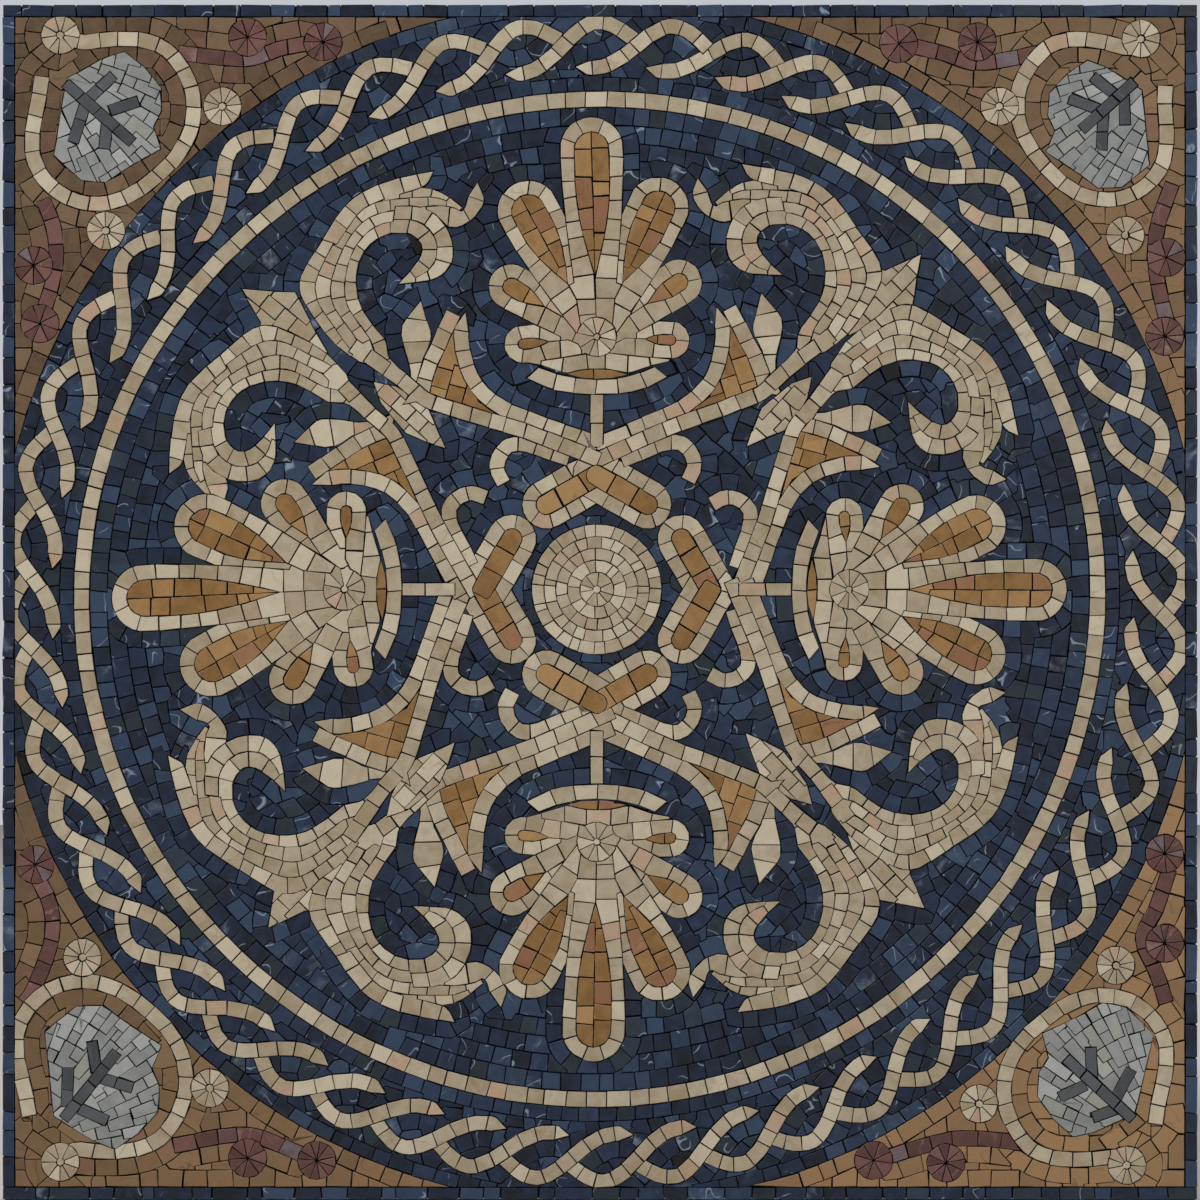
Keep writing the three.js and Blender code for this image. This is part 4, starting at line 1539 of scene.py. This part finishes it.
def make_glue():
    bpy.ops.object.select_all(action="DESELECT")
    bpy.ops.mesh.primitive_grid_add(
        x_subdivisions=GLUE_CELLS, y_subdivisions=GLUE_CELLS, size=PANEL * MM,
        location=(0, -GLUE_BACK, 0), rotation=(math.pi / 2, 0, 0))
    glue = bpy.context.object
    glue.name = glue.data.name = "glue_skin"
    bpy.ops.object.transform_apply(location=True, rotation=True, scale=True)
    co = read(glue.data.vertices, "co", float, 3)
    lumps = np.random.default_rng(5).random((GLUE_CELLS + 1, GLUE_CELLS + 1))
    lumps = (lumps + np.roll(lumps, 1, 0) + np.roll(lumps, 1, 1) + np.roll(lumps, (1, 1), (0, 1))) / 4
    cells = np.round((co[:, [0, 2]] / (PANEL * MM) + 0.5) * GLUE_CELLS).astype(int)
    cells = np.clip(cells, 0, GLUE_CELLS)
    co[:, 1] += (lumps[cells[:, 0], cells[:, 1]] - 0.5) * GLUE_LUMPS
    glue.data.vertices.foreach_set("co", co.ravel())
    only_select(glue)
    bpy.ops.object.mode_set(mode="EDIT")
    bpy.ops.mesh.select_all(action="SELECT")
    bpy.ops.mesh.extrude_region_move(TRANSFORM_OT_translate={"value": (0, -0.5 * MM, 0)})
    bpy.ops.transform.resize(value=(1, 0, 1), center_override=(0, -(BED_LEVEL + 0.05) * MM, 0))
    bpy.ops.mesh.select_all(action="SELECT")
    bpy.ops.mesh.normals_make_consistent(inside=False)
    bpy.ops.object.mode_set(mode="OBJECT")
    bpy.ops.object.shade_smooth_by_angle(angle=math.radians(40))
    return glue


glue = make_glue()
print("faces in the glue:", len(glue.data.polygons))

# %% Finish of the threads
def net_finish():
    g = Graph("glass_thread", Roughness=0.55, Specular_IOR_Level=0.5)
    place = g.node("ShaderNodeTexCoord", out="Object")
    fibres = g.noise(place, 700, 3)
    soil = g.smooth_step(g.noise(place, 14, 4), 0.4, 0.7)
    body = g.mix(fibres, paint("e4e2da"), paint("c9c7be"))
    body = g.mix(soil * 0.5, body, paint("a8a294"))
    return g.finish(Base_Color=body, Normal=g.bump(0.5, 0.2 * MM, fibres))


# %% Finish of the glue
def glue_finish():
    """Dried glue with the backs of the stones showing through. Its front, seen down the joints, is painted
    near-black as painted shade.
    """
    g = Graph("dried_glue", Roughness=0.4, Specular_IOR_Level=0.5)
    place = g.node("ShaderNodeTexCoord", out="Object")
    cells = {"Vector": place, "Scale": 88.0}
    cell = g.node("ShaderNodeTexVoronoi", {"distance": "CHEBYCHEV"}, cells, out="Color")
    tint = g.node("ShaderNodeSeparateColor", inputs={"Color": cell}, out=0)
    flat = g.node("ShaderNodeVectorMath", {"operation": "MULTIPLY"}, {0: place, 1: (1, 0, 1)})
    radius = g.node("ShaderNodeVectorMath", {"operation": "LENGTH"}, {0: flat}, out="Value")
    corner = g.smooth_step(radius, 383 * MM, 385 * MM)
    stone = g.mix(corner, paint("4b5464"), paint("8f6e48"))
    stone = g.mix(g.smooth_step(tint, 0.62, 0.68) * (1 - corner), stone, paint("b7a687"))
    smear = g.noise(place, 40, 5, 0.6)
    body = g.mix(g.smooth_step(smear, 0.3, 0.7) * 0.3 + 0.5, stone, paint("d3cfc3"))
    front = g.node("ShaderNodeSeparateXYZ", inputs={"Vector": place}, out=1)
    # Painted shade: the glue's front, seen only down the joints, is painted near-black.
    body = g.mix(g.smooth_step(front, -1.4 * MM, -1.9 * MM), body, paint("100f0e"))
    return g.finish(Base_Color=body, Roughness=smear * 0.3 + 0.28, Normal=g.bump(0.6, 0.6 * MM, smear))


# %% Finish the back
for piece in net:
    piece.data.materials.append(net_finish())
glue.data.materials.append(glue_finish())
for piece in (*net, glue):
    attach(piece, "root")
    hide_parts("mesh_backing")
print("pieces at the back:", [piece.name for piece in (*net, glue)])

# %% [markdown]
# ## Floor, light and camera
#
# The panel stands upright on a pale floor. The light is soft and comes from the upper left, low enough over
# the stones to show their edges, with a weaker one opposite. The backdrop looks paler than the light it
# gives, so the joints stay dark. The camera looks straight at the panel from far off, so that the square
# stays square.

# %% Floor
FLOOR_GAP = 0.5 * MM
bpy.ops.object.select_all(action="DESELECT")
bpy.ops.mesh.primitive_plane_add(size=8, location=(0, 0, -HALF * MM - FLOOR_GAP))
floor = bpy.context.object
floor.name = "floor"
g = Graph("pale_floor", Roughness=0.7)
speck = g.noise(g.node("ShaderNodeTexCoord", out="Object"), 30)
floor.data.materials.append(g.finish(Base_Color=g.mix(speck, paint("d9d7d2"), paint("cfcdc8"))))
floor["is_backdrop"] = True
print("the floor is at", round(floor.location.z, 4), "m")

# %% Lamps
def add_lamp(name, place, size, power, colour):
    lamp = bpy.data.lights.new(name, "AREA")
    lamp.shape, lamp.size, lamp.energy, lamp.color = "DISK", size, power, colour
    holder = bpy.data.objects.new(name, lamp)
    bpy.context.collection.objects.link(holder)
    holder.location = place
    holder.rotation_euler = (-holder.location).to_track_quat("-Z", "Y").to_euler()


add_lamp("key", (-3.6, -2.55, 3.9), 1.35, 215, (1.0, 0.98, 0.95))
add_lamp("fill", (1.7, -2.5, 0.9), 1.6, 16, (0.95, 0.97, 1.0))
add_lamp("back", (0.8, 2.6, 2.0), 1.6, 40, (1.0, 1.0, 1.0))
print("lamps:", [lamp.name for lamp in bpy.data.lights])

# %% Backdrop
BACKDROP_LIGHT = 0.17
BACKDROP_SEEN = 0.6

world = bpy.data.worlds.new("studio")
world.use_nodes = True
sky = world.node_tree
seen = sky.nodes.new("ShaderNodeLightPath")
strength = sky.nodes.new("ShaderNodeMapRange")
strength.inputs["To Min"].default_value = BACKDROP_LIGHT
strength.inputs["To Max"].default_value = BACKDROP_SEEN
sky.links.new(seen.outputs["Is Camera Ray"], strength.inputs["Value"])
sky.links.new(strength.outputs[0], sky.nodes["Background"].inputs["Strength"])
sky.nodes["Background"].inputs["Color"].default_value = (0.9, 0.93, 1.0, 1)
bpy.context.scene.world = world
bpy.context.scene.view_settings.view_transform = "Standard"
print("the backdrop lights with", BACKDROP_LIGHT, "and is seen as", BACKDROP_SEEN)

# %% Camera
FRAME_WIDTH = 762.6 * MM
FRAME_RAISE = 1.3 * MM
CAMERA_DISTANCE = 2.4

lens = bpy.data.cameras.new("camera")
camera = bpy.data.objects.new("camera", lens)
bpy.context.collection.objects.link(camera)
camera.location = (0, -CAMERA_DISTANCE - STONE_FRONT * MM, FRAME_RAISE)
camera.rotation_euler = (math.pi / 2, 0, 0)
lens.sensor_width = 36
lens.lens = lens.sensor_width * CAMERA_DISTANCE / FRAME_WIDTH
bpy.context.scene.camera = camera
print("the lens is", round(lens.lens, 1), "mm long,", CAMERA_DISTANCE, "m from the stones")

# %% [markdown]
# ## Last measures
# Both boxes, of the imported model and of the dressed panel, are printed. The dressed panel may not be larger
# than the imported model. Both boxes are written down, so that they can be compared.

# %% Print the sizes and finish
visual_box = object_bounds()
sizes = {"cad": [list(v) for v in cad_box], "visual": [list(v) for v in visual_box]}
print("sizes:", sizes)
